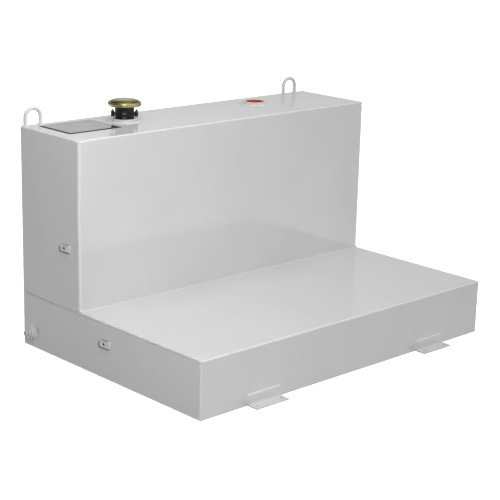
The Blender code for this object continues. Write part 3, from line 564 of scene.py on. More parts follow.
def studio_white():
    """White floor, lit up a little as a studio floor is."""
    material, _, shader, _ = new_finish("studio white", (0.93, 0.93, 0.93), 0.9)
    shader.inputs["Specular IOR Level"].default_value = 0.1
    shader.inputs["Emission Color"].default_value = (1.0, 1.0, 1.0, 1.0)
    shader.inputs["Emission Strength"].default_value = FLOOR_GLOW
    return material


def mesh_from(name, bm):
    """A mesh taken from a bmesh, which is freed."""
    mesh = bpy.data.meshes.new(name)
    bm.to_mesh(mesh)
    bm.free()
    return mesh


def baked_copy(obj):
    """The evaluated mesh of a working object, which is then removed."""
    bpy.context.view_layer.update()
    graph = bpy.context.evaluated_depsgraph_get()
    mesh = bpy.data.meshes.new_from_object(obj.evaluated_get(graph))
    mesh.transform(obj.matrix_world)
    bpy.data.objects.remove(obj)
    return mesh


def smoothed(mesh, angle=FOLD_SMOOTH):
    """Smooth shading that keeps edges sharper than the angle and leaves wide faces flat."""
    mesh.shade_smooth()
    mesh.set_sharp_from_angle(angle=angle)
    work = new_object("work", mesh)
    even = work.modifiers.new("even", "WEIGHTED_NORMAL")
    even.keep_sharp = True
    return baked_copy(work)


def add_piece(name, mesh, finish, body, slot, *nodes):
    """A finished piece at the origin: its material, its body and what it replaces; the slot argument
    is not used.
    """
    piece = new_object(name, mesh)
    mesh.name = name
    mesh.materials.clear()
    mesh.materials.append(finish)
    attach(piece, body)
    if nodes:
        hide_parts(*nodes)
    return piece


def add_coated(name, mesh, finish, *nodes):
    """A white piece of the tank."""
    add_piece(name, mesh, finish, "tank", "powder_coat", *nodes)


def add_sheet(name, bm, finish, node):
    """A welded sheet in place of its node."""
    add_coated(name, smoothed(mesh_from("sheet", bm)), finish, node)


def merged(mesh, distance=0.00002):
    """A mesh with its loose triangles joined and its flat faces made whole, as a bmesh."""
    bm = bmesh.new()
    bm.from_mesh(mesh)
    bmesh.ops.remove_doubles(bm, verts=bm.verts, dist=distance)
    bmesh.ops.dissolve_limit(bm, angle_limit=math.radians(0.5), verts=bm.verts, edges=bm.edges)
    return bm


def merged_node(node):
    """A CAD node's mesh, merged."""
    return merged(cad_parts[node].data)


def keep_between(bm, axis, low, high, where=None):
    """Draw in the corners of a sheet that lie past a limit."""
    for vert in bm.verts:
        if where is None or where(vert.co):
            vert.co[axis] = min(max(vert.co[axis], low), high)


def cut_once(bm, axis, place):
    """Cut a sheet along one plane, to hold its flat faces flat beside a fold."""
    normal = Vector([1.0 if index == axis else 0.0 for index in range(3)])
    geometry = bm.verts[:] + bm.edges[:] + bm.faces[:]
    bmesh.ops.bisect_plane(bm, geom=geometry, plane_co=normal * place, plane_no=normal, dist=0.00001)


def cut_grid(bm, axis, low, high):
    """Cut a sheet along evenly spaced planes, so that it can be waved."""
    count = max(1, round((high - low) / GRID))
    for index in range(1, count):
        cut_once(bm, axis, low + (high - low) * index / count)


def droop(place):
    """How far the top's left front corner hangs at a place."""
    reach = (Vector(place) - Vector((LEFT, TOWER, TOP))).length
    share = max(0.0, 1.0 - reach / DROOP_REACH)
    return CORNER_DROOP * share * share


def let_hang(bm):
    """Cut a sheet finely at the top's left front corner and let the corner hang."""
    for reach in HANG_CUTS:
        cut_once(bm, 0, LEFT + reach)
        cut_once(bm, 1, TOWER + reach)
        cut_once(bm, 2, TOP - reach)
    for vert in bm.verts:
        vert.co.z -= droop(vert.co)


def edge_fade(value, low, high):
    """0 at either end of a span and 1 away from its ends."""
    near = min(value - low, high - value) / WAVE_FADE
    share = min(max(near, 0.0), 1.0)
    return share * share * (3.0 - 2.0 * share)


def wave_sheet(bm, axis, spans, depth, inward=0.0, where=None):
    """Bulge a sheet along one axis as welded sheet does, still at its edges."""
    other = [index for index in range(3) if index != axis]
    for vert in bm.verts:
        if where is not None and not where(vert.co):
            continue
        still = 1.0
        for index, (low, high) in zip(other, spans):
            still *= edge_fade(vert.co[index], low, high)
        place = vert.co.copy()
        place[axis] = 10.0 * axis
        wave = noise.noise(place / WAVE_REACH)
        vert.co[axis] += (wave * depth + inward) * still


def flat_plate(outlines, low, high):
    """A flat plate cut from outlines in X and Y, the first its edge and the rest holes."""
    plate = working_paths([([(x, y, 0.0) for x, y in outline], 1.0, True) for outline in outlines])
    plate.data.dimensions = "2D"
    plate.data.fill_mode = "BOTH"
    plate.data.extrude = (high - low) / 2
    plate.location.z = (low + high) / 2
    return merged(baked_copy(plate), 0.00001)


def round_edges(bm, width, segments=3, angle=math.radians(35), pick=None):
    """Bevel the edges that are sharper than an angle, or those picked."""
    edges = []
    for edge in bm.edges:
        if len(edge.link_faces) == 2 and edge.calc_face_angle(0.0) > angle:
            if pick is None or pick(edge):
                edges.append(edge)
    bmesh.ops.bevel(bm, geom=edges, offset=width, offset_type="OFFSET", segments=segments,
                    profile=0.5, affect="EDGES", clamp_overlap=True)
    return bm


def arc(centre, radius, first, last, steps=6, rise=None):
    """Points of an arc between two angles in degrees, or of an oval with its own rise."""
    if rise is None:
        rise = radius
    angles = [math.radians(first + (last - first) * step / steps) for step in range(steps + 1)]
    return [(centre[0] + radius * math.cos(angle), centre[1] + rise * math.sin(angle))
            for angle in angles]


def eased(corners, radius, steps=4):
    """An open path with its inner corners rounded, each as far as its legs allow."""
    corners = [Vector(corner) for corner in corners]
    points = [corners[0]]
    for before, corner, after in zip(corners, corners[1:], corners[2:]):
        to_before, to_after = before - corner, after - corner
        reach = min(radius, to_before.length * 0.45, to_after.length * 0.45)
        start = corner + to_before.normalized() * reach
        end = corner + to_after.normalized() * reach
        for step in range(steps + 1):
            share = step / steps
            points.append(start.lerp(corner, share).lerp(corner.lerp(end, share), share))
    points.append(corners[-1])
    return points


def turned_mesh(profile, place, steps=96, closed=True, smooth=math.radians(32)):
    """Turn a profile of radius and height about the Z axis of a place."""
    bm = bmesh.new()
    rings = []
    for radius, height in profile:
        if radius < 0.00001:
            rings.append([bm.verts.new((0.0, 0.0, height))] * steps)
            continue
        circle = arc((0, 0), radius, 0, 360, steps)[:-1]
        rings.append([bm.verts.new((x, y, height)) for x, y in circle])
    pairs = list(zip(rings, rings[1:]))
    if closed:
        pairs.append((rings[-1], rings[0]))
    for upper, lower in pairs:
        for step in range(steps):
            after = (step + 1) % steps
            corners = []
            for vert in (upper[step], lower[step], lower[after], upper[after]):
                if vert not in corners:
                    corners.append(vert)
            if len(corners) > 2:
                bm.faces.new(corners)
    bmesh.ops.recalc_face_normals(bm, faces=bm.faces)
    mesh = mesh_from("turned", bm)
    mesh.transform(place if isinstance(place, Matrix) else Matrix.Translation(place))
    return smoothed(mesh, smooth)


def cut_away(mesh, cutter_bm):
    """Cut a closed tool out of a mesh."""
    work = new_object("work", mesh)
    tool = new_object("tool", mesh_from("tool", cutter_bm))
    difference = work.modifiers.new("cut", "BOOLEAN")
    difference.operation = "DIFFERENCE"
    difference.solver = "EXACT"
    difference.object = tool
    cut = baked_copy(work)
    bpy.data.objects.remove(tool)
    return cut


def new_tree(name, floats=(), others=None):
    """A Geometry Nodes tree with named inputs, a finish among them, and one geometry output."""
    tree = bpy.data.node_groups.new(name, "GeometryNodeTree")
    sockets = {"Geometry": "Geometry", **dict.fromkeys(floats, "Float"), **(others or {}),
               "Finish": "Material"}
    for socket, kind in sockets.items():
        tree.interface.new_socket(socket, in_out="INPUT", socket_type="NodeSocket" + kind)
    tree.interface.new_socket("Geometry", in_out="OUTPUT", socket_type="NodeSocketGeometry")
    return tree, tree.nodes.new("NodeGroupInput").outputs


def end_tree(tree, geometry, finish):
    """Close a tree with Realize Instances and Set Material."""
    real = add_node(tree, "GeometryNodeRealizeInstances", {"Geometry": geometry})
    painted = add_node(tree, "GeometryNodeSetMaterial", {"Geometry": real, "Material": finish})
    add_node(tree, "NodeGroupOutput", {"Geometry": painted})
    return tree


def run_tree(tree, source, values):
    """Run a tree on a working object with inputs set by their identifiers; returns the mesh."""
    nodes = source.modifiers.new("nodes", "NODES")
    nodes.node_group = tree
    for item in tree.interface.items_tree:
        if item.in_out == "INPUT" and item.name in values:
            nodes[item.identifier] = values[item.name]
    return baked_copy(source)


def maths(tree, operation, first, second=0.0):
    """One sum in a shader or geometry tree."""
    return add_node(tree, "ShaderNodeMath", {0: first, 1: second}, operation=operation).outputs[0]


def weld_bead_tree():
    """A bead along each path: its radius comes from the path's points, less lumps and ripples."""
    tree, given = new_tree("weld bead", ("Step", "Ripple Pitch", "Ripple Depth", "Lump Reach",
                                         "Lump Depth", "Seed"), {"Sides": "Int"})
    path = add_node(tree, "GeometryNodeResampleCurve",
                    {"Curve": given["Geometry"], "Length": given["Step"]}, mode="LENGTH")
    place = add_node(tree, "GeometryNodeInputPosition")
    cloud = add_node(tree, "ShaderNodeTexNoise", {
        "Vector": place, "W": given["Seed"], "Scale": maths(tree, "DIVIDE", 1.0, given["Lump Reach"]),
        "Detail": 1.0}, noise_dimensions="4D").outputs["Fac"]
    lumps = add_node(tree, "ShaderNodeMapRange", {"Value": cloud, "From Min": 0.3,
                                                  "From Max": 0.7}).outputs["Result"]
    along = add_node(tree, "GeometryNodeSplineParameter").outputs["Length"]
    turns = maths(tree, "DIVIDE", along, given["Ripple Pitch"])
    phase = maths(tree, "ADD", maths(tree, "MULTIPLY", turns, 2 * math.pi),
                  maths(tree, "MULTIPLY", lumps, 5.0))
    ripple = maths(tree, "ABSOLUTE", maths(tree, "SINE", maths(tree, "MULTIPLY", phase, 0.5)))
    sunk = maths(tree, "ADD", maths(tree, "MULTIPLY", lumps, given["Lump Depth"]),
                 maths(tree, "MULTIPLY", ripple, given["Ripple Depth"]))
    own = add_node(tree, "GeometryNodeInputRadius")
    ring = add_node(tree, "GeometryNodeCurvePrimitiveCircle",
                    {"Resolution": given["Sides"], "Radius": 1.0})
    bead = add_node(tree, "GeometryNodeCurveToMesh",
                    {"Curve": path, "Profile Curve": ring, "Fill Caps": True,
                     "Scale": maths(tree, "SUBTRACT", own, sunk)})
    soft = add_node(tree, "GeometryNodeSetShadeSmooth", {"Geometry": bead})
    return end_tree(tree, soft, given["Finish"])


def weld_lump_tree():
    """A rounded blob of weld at each point, as large as the point's own size."""
    tree, given = new_tree("weld lumps", ("Unevenness", "Seed"))
    blob = add_node(tree, "GeometryNodeMeshIcoSphere", {"Radius": 1.0, "Subdivisions": 3})
    size = add_node(tree, "GeometryNodeInputNamedAttribute", {"Name": "size"}, data_type="FLOAT")
    copies = add_node(tree, "GeometryNodeInstanceOnPoints",
                      {"Points": given["Geometry"], "Instance": blob, "Scale": size})
    real = add_node(tree, "GeometryNodeRealizeInstances", {"Geometry": copies})
    place = add_node(tree, "GeometryNodeInputPosition")
    shape = add_node(tree, "ShaderNodeTexNoise", {"Vector": place, "W": given["Seed"],
                                                  "Scale": 220.0, "Detail": 1.0},
                     noise_dimensions="4D").outputs["Fac"]
    normal = add_node(tree, "GeometryNodeInputNormal")
    sink = maths(tree, "MULTIPLY", maths(tree, "MULTIPLY", shape, given["Unevenness"]), -1.0)
    push = add_node(tree, "ShaderNodeVectorMath", {0: normal, "Scale": sink}, operation="SCALE")
    rough = add_node(tree, "GeometryNodeSetPosition", {"Geometry": real, "Offset": push})
    soft = add_node(tree, "GeometryNodeSetShadeSmooth", {"Geometry": rough})
    return end_tree(tree, soft, given["Finish"])


def thread_tree():
    """A screw thread: a diamond section wound upwards along a helix."""
    tree, given = new_tree("thread", ("Crest Radius", "Pitch", "Turns", "Depth"), {"Base": "Vector"})
    core = maths(tree, "SUBTRACT", given["Crest Radius"], given["Depth"])
    helix = add_node(tree, "GeometryNodeCurveSpiral", {
        "Resolution": 40, "Rotations": given["Turns"], "Start Radius": core, "End Radius": core,
        "Height": maths(tree, "MULTIPLY", given["Turns"], given["Pitch"])})
    upright = add_node(tree, "GeometryNodeSetCurveNormal", {"Curve": helix}, mode="Z_UP")
    section = add_node(tree, "GeometryNodeCurvePrimitiveCircle",
                       {"Resolution": 4, "Radius": given["Depth"]})
    wound = add_node(tree, "GeometryNodeCurveToMesh",
                     {"Curve": upright, "Profile Curve": section, "Fill Caps": True})
    placed = add_node(tree, "GeometryNodeTransform", {"Geometry": wound, "Translation": given["Base"]})
    return end_tree(tree, placed, given["Finish"])


def ring_tree():
    """Copies of one piece spaced round a circle, each turned outwards."""
    tree, given = new_tree("ring of pieces", ("Circle Radius", "First Angle"),
                           {"Count": "Int", "Centre": "Vector"})
    circle = add_node(tree, "GeometryNodeMeshCircle",
                      {"Vertices": given["Count"], "Radius": given["Circle Radius"]})
    place = add_node(tree, "GeometryNodeInputPosition")
    facing = add_node(tree, "FunctionNodeAlignRotationToVector", {"Vector": place}, axis="X")
    copies = add_node(tree, "GeometryNodeInstanceOnPoints",
                      {"Points": circle, "Instance": given["Geometry"], "Rotation": facing})
    turn = add_node(tree, "ShaderNodeCombineXYZ", {"Z": given["First Angle"]})
    placed = add_node(tree, "GeometryNodeTransform",
                      {"Geometry": copies, "Rotation": turn, "Translation": given["Centre"]})
    return end_tree(tree, placed, given["Finish"])


def working_paths(lines):
    """A working curve of lines: each has its places, its radius and whether it closes."""
    curve = bpy.data.curves.new("paths", "CURVE")
    curve.dimensions = "3D"
    for places, radius, closed in lines:
        spline = curve.splines.new("POLY")
        spline.points.add(len(places) - 1)
        for point, place in zip(spline.points, places):
            point.co = (*place, 1.0)
            point.radius = radius
        spline.use_cyclic_u = closed
    return new_object("paths", curve)


def joined(*meshes):
    """Several meshes as one."""
    bm = bmesh.new()
    for mesh in meshes:
        bm.from_mesh(mesh)
    return mesh_from("joined", bm)


def add_beads(name, lines, finish):
    """Weld beads as one piece, made as the table of beads says."""
    lump, ripple, reach, seed, pitch, step = BEADS[name]
    mesh = run_tree(weld_bead_tree(), working_paths(lines), {
        "Step": step, "Ripple Pitch": pitch, "Ripple Depth": ripple / 1000, "Lump Reach": reach,
        "Lump Depth": lump / 1000, "Sides": BEAD_SIDES, "Seed": seed, "Finish": finish})
    add_coated(name, mesh, finish)


def wound_thread(radius, pitch, turns, height, finish, place=FILLER, depth=THREAD_DEPTH):
    """The mesh of a screw thread wound upwards from a height above a place."""
    return run_tree(thread_tree(), new_object("work", mesh_from("none", bmesh.new())), {
        "Crest Radius": radius, "Pitch": pitch, "Turns": turns, "Depth": depth,
        "Base": place + Vector((0, 0, height)), "Finish": finish})


def box_tool(*sizes):
    """A box of given sizes about the origin."""
    tool = bmesh.new()
    bmesh.ops.create_cube(tool, size=1.0)
    bmesh.ops.scale(tool, vec=sizes, verts=tool.verts)
    return tool


def rod_tool(radius, depth, segments, matrix=Matrix()):
    """A closed prism about Z, near a cylinder if it has many sides."""
    tool = bmesh.new()
    bmesh.ops.create_cone(tool, cap_ends=True, segments=segments, radius1=radius, radius2=radius,
                          depth=depth, matrix=matrix)
    return tool


def corner_line(start, end, inward, radius, proud=WELD_PROUD):
    """Centre line of a corner's bead, a little proud on the left, front and top faces only."""
    start, end = Vector(start), Vector(end)
    shift = Vector([side * (radius if side == held else radius - proud)
                    for side, held in zip(inward, (-1, -1, 1))])
    pull = (end - start).normalized() * (radius - proud)
    start, end = start + shift + pull, end + shift - pull
    places = [start.lerp(end, step / 64) for step in range(65)]
    return [place - Vector((0.0, 0.0, droop(place))) for place in places], radius, False


def bowed(line):
    """The tower's left front corner, which bows outwards a little at half height."""
    places, radius, closed = line
    middle = DECK + (TOP - DECK) * EDGE_BOW_HEIGHT
    for place in places:
        place.x -= EDGE_BOW * math.exp(-((place.z - middle) / EDGE_BOW_REACH) ** 2)
    return places, radius, closed


def ring_line(centre, radius, thickness, axis="Z", steps=64):
    """Centre line of a bead round a circle that faces up or to the left."""
    circle = arc((0, 0), radius, 0, 360, steps)[:-1]
    outs = [(x, y, 0.0) if axis == "Z" else (0.0, x, y) for x, y in circle]
    return [Vector(centre) + Vector(out) for out in outs], thickness, True


def make_sheets(white):
    """The welded sheets, each drawn in at its corners, gently waved and smooth at its folds."""
    across = (LEFT + CORNER_TRIM, RIGHT - CORNER_TRIM)
    deep = (FRONT + CORNER_TRIM, BACK - CORNER_TRIM)
    tower_deep = (TOWER + CORNER_TRIM, BACK - CORNER_TRIM)
    roof = TOP - CORNER_TRIM

    bm = merged_node("base_and_back_sheet")
    keep_between(bm, 0, *across)
    keep_between(bm, 1, -PAST_ALL, BACK - PLATE_SINK)
    keep_between(bm, 2, PLATE_SINK, roof)
    keep_between(bm, 2, -PAST_ALL, DECK - CORNER_TRIM, lambda place: place.y < 0)
    for axis, low, high in ((0, *across), (1, FRONT, BACK), (2, 0.0, TOP)):
        cut_grid(bm, axis, low, high)
    for axis, place in ((1, FRONT + FOLD_EDGE), (1, BACK - FOLD_EDGE), (2, FOLD_EDGE)):
        cut_once(bm, axis, place)
    wave_sheet(bm, 1, (across, (0.0, DECK)), WAVES["base"], 0.0,
               lambda place: place.y < FRONT + 2 * SHEET and place.z > FOLD_EDGE)
    wave_sheet(bm, 1, (across, (0.0, TOP)), WAVES["back"], BACK_DISH,
               lambda place: place.y > BACK - 2 * SHEET and place.z > FOLD_EDGE)
    add_sheet("base_and_back", bm, white, "base_and_back_sheet")

    bm = merged_node("deck_and_front_sheet")
    keep_between(bm, 0, *across)
    keep_between(bm, 1, FRONT + CORNER_TRIM, PAST_ALL)
    keep_between(bm, 2, -PAST_ALL, roof)
    for axis, low, high in ((0, *across), (1, FRONT, TOWER), (2, DECK, TOP)):
        cut_grid(bm, axis, low, high)
    cut_once(bm, 1, TOWER - FOLD_EDGE)
    cut_once(bm, 2, DECK + FOLD_EDGE)
    keep_between(bm, 0, LEFT + TOWER_TRIM, RIGHT - TOWER_TRIM,
                 lambda place: place.z > DECK + FOLD_EDGE / 2)
    wave_sheet(bm, 2, (across, (FRONT, TOWER)), WAVES["deck"], 0.0,
               lambda place: place.z < DECK + SHEET / 2 and place.y < TOWER - FOLD_EDGE / 2)
    wave_sheet(bm, 1, (across, (DECK, TOP)), WAVES["tower"], 0.0,
               lambda place: place.z > DECK + FOLD_EDGE / 2)
    let_hang(bm)
    add_sheet("deck_and_front", bm, white, "deck_and_front_sheet")

    bm = merged_node("top_plate")
    keep_between(bm, 0, *across)
    keep_between(bm, 1, *tower_deep)
    cut_grid(bm, 0, *across)
    cut_grid(bm, 1, *tower_deep)
    wave_sheet(bm, 2, (across, tower_deep), WAVES["top"])
    let_hang(bm)
    add_sheet("top", bm, white, "top_plate")

    ends = (
        ("lower_end", "_end_below", FRONT + BASE_END_TRIM, (CORNER_TRIM, DECK - DECK_END_TRIM), deep,
         (0.0, DECK)),
        ("upper_end", "_end_above", TOWER + TOWER_TRIM, (-PAST_ALL, roof), tower_deep, (DECK, TOP)),
    )
    for side, face, inward in (("left", PAST_ALL, 0.0), ("right", RIGHT - SHEET / 2, RIGHT_DISH)):
        for end, name, front, heights, depths, span in ends:
            node = side + "_" + end
            bm = merged_node(node)
            keep_between(bm, 1, front, BACK - CORNER_TRIM)
            keep_between(bm, 2, *heights)
            keep_between(bm, 0, -PAST_ALL, RIGHT - PLATE_SINK, lambda place, face=face: place.x > face)
            cut_grid(bm, 1, *depths)
            cut_grid(bm, 2, *span)
            wave_sheet(bm, 0, (depths, span), WAVES[end], inward)
            if node == "left_upper_end":
                let_hang(bm)
            add_sheet(side + name, bm, white, node)


def end_outline(face, inward):
    """Centre line of the bead down an end's front, under it and up its back, round the folds."""
    radius = BASE_CORNER_WELD
    inner = radius - WELD_PROUD
    fold = FOLD_EDGE - FOLD_MARGIN
    front, back = FRONT + inner, BACK - radius
    turn = fold - radius
    x = face + inward * (radius if inward < 0 else inner)
    places = [(x, front, DECK - inner)]
    for centre, first in ((FRONT + fold, 180), (BACK - fold, 270)):
        for y, z in arc((centre, fold), turn, first, first + 90, 4):
            places.append((x, min(max(y, front), back), max(z, radius)))
    places.append((x, back, TOP - inner))
    return places, radius, False


def make_welds(white):
    """Weld beads along the corners and seams, round the fittings, and the blobs on them."""
    foot = DECK - TOWER_WELD_DEPTH
    under_tower = TOWER + DECK_END_OVERLAP
    seam_y = (TOWER + 0.002, BACK - BACK_WELD)
    seam_z = DECK - SEAM_WELD * 0.75
    groove_top = DECK - DECK_END_TRIM + GROOVE_SHIFT
    groove_front = FRONT + BASE_END_TRIM - GROOVE_SHIFT
    groups = {
        "top_edge_welds": [
            corner_line((LEFT, TOWER, TOP), (RIGHT, TOWER, TOP), (0, 1, -1), TOP_FRONT_WELD),
            corner_line((LEFT, TOWER, TOP), (LEFT, BACK, TOP), (1, 0, -1), TOP_WELD),
            corner_line((RIGHT, TOWER, TOP), (RIGHT, BACK, TOP), (-1, 0, -1), TOP_WELD),
            corner_line((LEFT, BACK, TOP), (RIGHT, BACK, TOP), (0, -1, -1), TOP_WELD)],
        "tower_front_left_weld": [
            bowed(corner_line((LEFT, TOWER, foot), (LEFT, TOWER, TOP), (1, 1, 0),
                              TOWER_CORNER_WELD, TOWER_LEFT_PROUD))],
        "tower_front_right_weld": [
            corner_line((RIGHT, TOWER, foot), (RIGHT, TOWER, TOP - TOWER_RIGHT_STOP), (-1, 1, 0),
                        TOWER_CORNER_WELD, TOWER_RIGHT_PROUD)],
        "deck_edge_welds": [
            corner_line((LEFT, FRONT, DECK), (RIGHT, FRONT, DECK), (0, 1, -1), DECK_FRONT_WELD),
            corner_line((LEFT, FRONT, DECK), (LEFT, under_tower, DECK), (1, 0, -1), DECK_END_WELD),
            corner_line((RIGHT, FRONT, DECK), (RIGHT, under_tower, DECK), (-1, 0, -1), DECK_END_WELD)],
        "end_groove_welds": [
            corner_line((end, start, height), (end, stop, height_end), (inward, along, down),
                        GROOVE_FILL, 0.0)
            for end, inward in ((LEFT + GROOVE_DEPTH, 1), (RIGHT - GROOVE_DEPTH, -1))
            for start, stop, height, height_end, along, down in (
                (FRONT, BACK, groove_top, groove_top, 0, -1),
                (groove_front, groove_front, 0.0, DECK, 1, 0))],
        "end_outline_welds": [end_outline(LEFT, 1), end_outline(RIGHT, -1)],
        "end_seam_welds": [
            ([(x, y, seam_z) for y in seam_y], SEAM_WELD, False)
            for x in (LEFT + SEAM_WELD - 2 * WELD_PROUD, RIGHT - SEAM_WELD)],
        "flange_welds": [
            ring_line(FILLER, radius_of("filler_flange"), FITTING_WELD),
            ring_line(PORT, radius_of("port_flange"), FITTING_WELD)],
    }
    for name, lines in groups.items():
        add_beads(name, lines, white)

    drops = bpy.data.meshes.new("drops")
    drops.from_pydata([drop[:3] for drop in WELD_BLOBS], [], [])
    size = drops.attributes.new("size", "FLOAT", "POINT")
    for drop, value in zip(WELD_BLOBS, size.data):
        value.value = drop[3]
    blobs = run_tree(weld_lump_tree(), new_object("work", drops), {
        "Unevenness": BLOB_UNEVENNESS, "Seed": BLOB_SEED, "Finish": white})
    add_coated("weld_blobs", blobs, white)


def flange_profile(bore, spigot):
    """Outline of a weld flange, from its bore up over the collar and down to the spigot."""
    disc = radius_of("filler_flange")
    ledge = COLLAR_HEIGHT - COUNTERBORE_DEPTH
    corners = ((bore, ledge), (COUNTERBORE_RADIUS, ledge), (COUNTERBORE_RADIUS, COLLAR_HEIGHT),
               (COLLAR_RADIUS, COLLAR_HEIGHT), (COLLAR_RADIUS, FLANGE_THICKNESS),
               (disc, FLANGE_THICKNESS), (disc, 0.0), (spigot, 0.0), (spigot, -SPIGOT_DEPTH),
               (bore, -SPIGOT_DEPTH))
    return eased(corners, EASED["flange"])


def make_top_fittings(white, black, zinc):
    """Weld flanges, filler neck with its threads, lug band, and the bolts and nuts in the lugs."""
    bore = radius_of("filler_neck")
    for node, place in (("filler_flange", FILLER), ("port_flange", PORT)):
        ring = turned_mesh(flange_profile(bore + FIT, SPIGOT_RADIUS), place)
        add_coated(node + "_piece", ring, white, node)

    foot, rise = heights_of("filler_neck")
    band = heights_of("lug_band")[0]
    inside = bore - PIPE_WALL
    core = bore - THREAD_DEPTH
    relief = inside + THREAD_DEPTH
    thread_end = rise - INSERT_THREAD
    corners = ((inside, thread_end), (relief, thread_end + THREAD_DEPTH), (relief, rise),
               (bore, rise), (bore, band), (core, band - THREAD_DEPTH), (core, foot), (inside, foot))
    pipe = turned_mesh(eased(corners, EASED["neck"]), FILLER)
    outer_thread = wound_thread(bore, PIPE_PITCH, NECK_TURNS, foot + THREAD_START["neck"], black)
    inner_thread = wound_thread(relief + THREAD_DEPTH * 0.2, PIPE_PITCH, INNER_TURNS,
                                thread_end + THREAD_START["inner"], black)
    add_piece("neck", joined(pipe, outer_thread, inner_thread), black, "tank", "black_iron",
              "filler_neck")

    bm = merged_node("lug_band")
    round_edges(bm, EASED["lug"])
    add_piece("lug_ring", smoothed(mesh_from("band", bm)), black, "tank", "black_iron", "lug_band")

    first = middle_of("lug_nut_1") - FILLER
    angle = math.atan2(first.y, first.x)
    circle = math.hypot(first.x, first.y)
    nut = hex_mesh(*heights_of("lug_nut_1"))
    nut = smoothed(cut_away(nut, rod_tool(BOLT_RADIUS + NUT_PLAY, 0.1, 24)))
    head_foot, end = heights_of("lug_bolt_1")
    head = hex_mesh(head_foot, band)
    shank_foot = band - 0.001
    shaft = BOLT_RADIUS - BOLT_THREAD_DEPTH
    corners = ((0.0, end), (shaft, end), (shaft, shank_foot), (0.0, shank_foot))
    shank = turned_mesh(eased(corners, EASED["shank"]), Vector(), 24)
    winding = wound_thread(BOLT_RADIUS, BOLT_PITCH, (end - shank_foot) / BOLT_PITCH - 1.0,
                           shank_foot + THREAD_START["bolt"], zinc, Vector(), BOLT_THREAD_DEPTH)
    for name, mesh, nodes in (("lug_nuts", nut, "lug_nut_"),
                              ("lug_bolts", joined(head, shank, winding), "lug_bolt_")):
        made = run_tree(ring_tree(), new_object("work", mesh), {
            "Count": 4, "Circle Radius": circle, "First Angle": angle, "Centre": FILLER,
            "Finish": zinc})
        add_piece(name, made, zinc, "tank", "bright_zinc",
                  *[nodes + str(index + 1) for index in range(4)])


def hex_mesh(low, high):
    """Hexagon head or nut with eased corners, its point towards X."""
    bm = rod_tool(HEX_POINT, high - low, 6, Matrix.Translation((0, 0, (low + high) / 2)))
    round_edges(bm, EASED["hexagon"])
    return smoothed(mesh_from("hexagon", bm))


def cap_outline():
    """Outer face of the pressed cap, from its crown to its lip, as radius and height."""
    radius = radius_of("cap_shell")
    base, crown = heights_of("cap_shell")
    crown -= CAP_CROWN_DROP
    valley = base + CAP_RIM_HEIGHT - CAP_VALLEY_DEPTH
    shoulder = radius - CAP_RIM_WIDTH
    foot = shoulder - CAP_VALLEY_WIDTH
    points = [(0.0, crown)]
    for step in range(29):
        share = step / 28
        height = valley + (crown - valley) * (1.0 - share ** CAP_DOME_FULLNESS) ** CAP_DOME_SIDE
        points.append((CAP_CROWN_RADIUS + (foot - CAP_CROWN_RADIUS) * share, height))
    half = CAP_RIM_HEIGHT / 2
    points += arc((shoulder, base + half), CAP_RIM_WIDTH, 90, 0, 12, half)
    points += arc((radius - CAP_LIP_WIDTH, base + half), CAP_LIP_WIDTH, 0, 90, 7, -half)[1:]
    return points


def inner_outline(points, depth):
    """The same outline drawn inwards by a sheet's thickness."""
    shifted = []
    for index, point in enumerate(points):
        before = Vector(points[max(index - 1, 0)])
        after = Vector(points[min(index + 1, len(points) - 1)])
        along = (after - before).normalized()
        inward = Vector((along.y, -along.x))
        place = Vector(point) + inward * depth
        shifted.append((max(place.x, 0.0) if index else 0.0, place.y))
    return shifted


def make_cap(gold, zinc, rubber, felt):
    """Pressed cap with its hole, its screwed insert, the breather felt and the gasket."""
    outer = cap_outline()
    shell = turned_mesh(outer + inner_outline(outer, CAP_SHEET)[::-1], FILLER, 144)
    angle = math.radians(CAP_HOLE_ANGLE)
    place = FILLER + Vector((math.cos(angle), math.sin(angle), 0.0)) * CAP_HOLE_CIRCLE_RADIUS
    place.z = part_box("cap_shell")[1].z
    tool = rod_tool(CAP_HOLE_RADIUS, 0.03, 32, Matrix.Translation(place))
    shell = smoothed(cut_away(shell, tool), CAP_SMOOTH)
    add_piece("cap", shell, gold, "cap", "yellow_zinc", "cap_shell")

    flange = radius_of("cap_insert")
    bottom, top = heights_of("cap_insert")
    inside = radius_of("filler_neck") - PIPE_WALL
    body = inside - INSERT_CLEARANCE
    hollow = body - INSERT_WALL
    seat = heights_of("cap_gasket")[1] + FIT
    lower = heights_of("cap_shell")[1] - top
    dome = [(radius, height - lower) for radius, height in outer if radius < flange - 0.0005]
    body_core = body - THREAD_DEPTH
    corners = [(flange, dome[-1][1]), (flange, seat), (body_core, seat), (body_core, bottom),
               (hollow, bottom), (hollow, seat + FIT), (0.0, seat + FIT)]
    stopper = turned_mesh(dome + eased(corners, EASED["insert"]), FILLER)
    winding = wound_thread(body, PIPE_PITCH, INSERT_TURNS, bottom + THREAD_START["insert"], zinc)
    add_piece("insert", joined(stopper, winding), zinc, "cap", "bright_zinc", "cap_insert")

    low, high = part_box("breather_filter")
    disc = radius_of("breather_filter")
    thick = high.z - low.z
    corners = ((0.0, thick), (disc, thick), (disc, 0.0), (0.0, 0.0))
    pad = turned_mesh(eased(corners, EASED["breather"]), Vector((FILLER.x, FILLER.y, low.z)), 64)
    add_piece("breather", pad, felt, "cap", "felt", "breather_filter")

    low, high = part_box("cap_gasket")
    outside = radius_of("cap_gasket")
    thick = high.z - low.z
    middle = (outside + inside) / 2
    corners = ((middle, thick), (outside, thick), (outside, 0.0), (inside, 0.0), (inside, thick),
               (middle, thick))
    seal = turned_mesh(eased(corners, EASED["gasket"])[:-1], Vector((FILLER.x, FILLER.y, low.z)))
    add_piece("gasket_ring", seal, rubber, "gasket", "rubber", "cap_gasket")


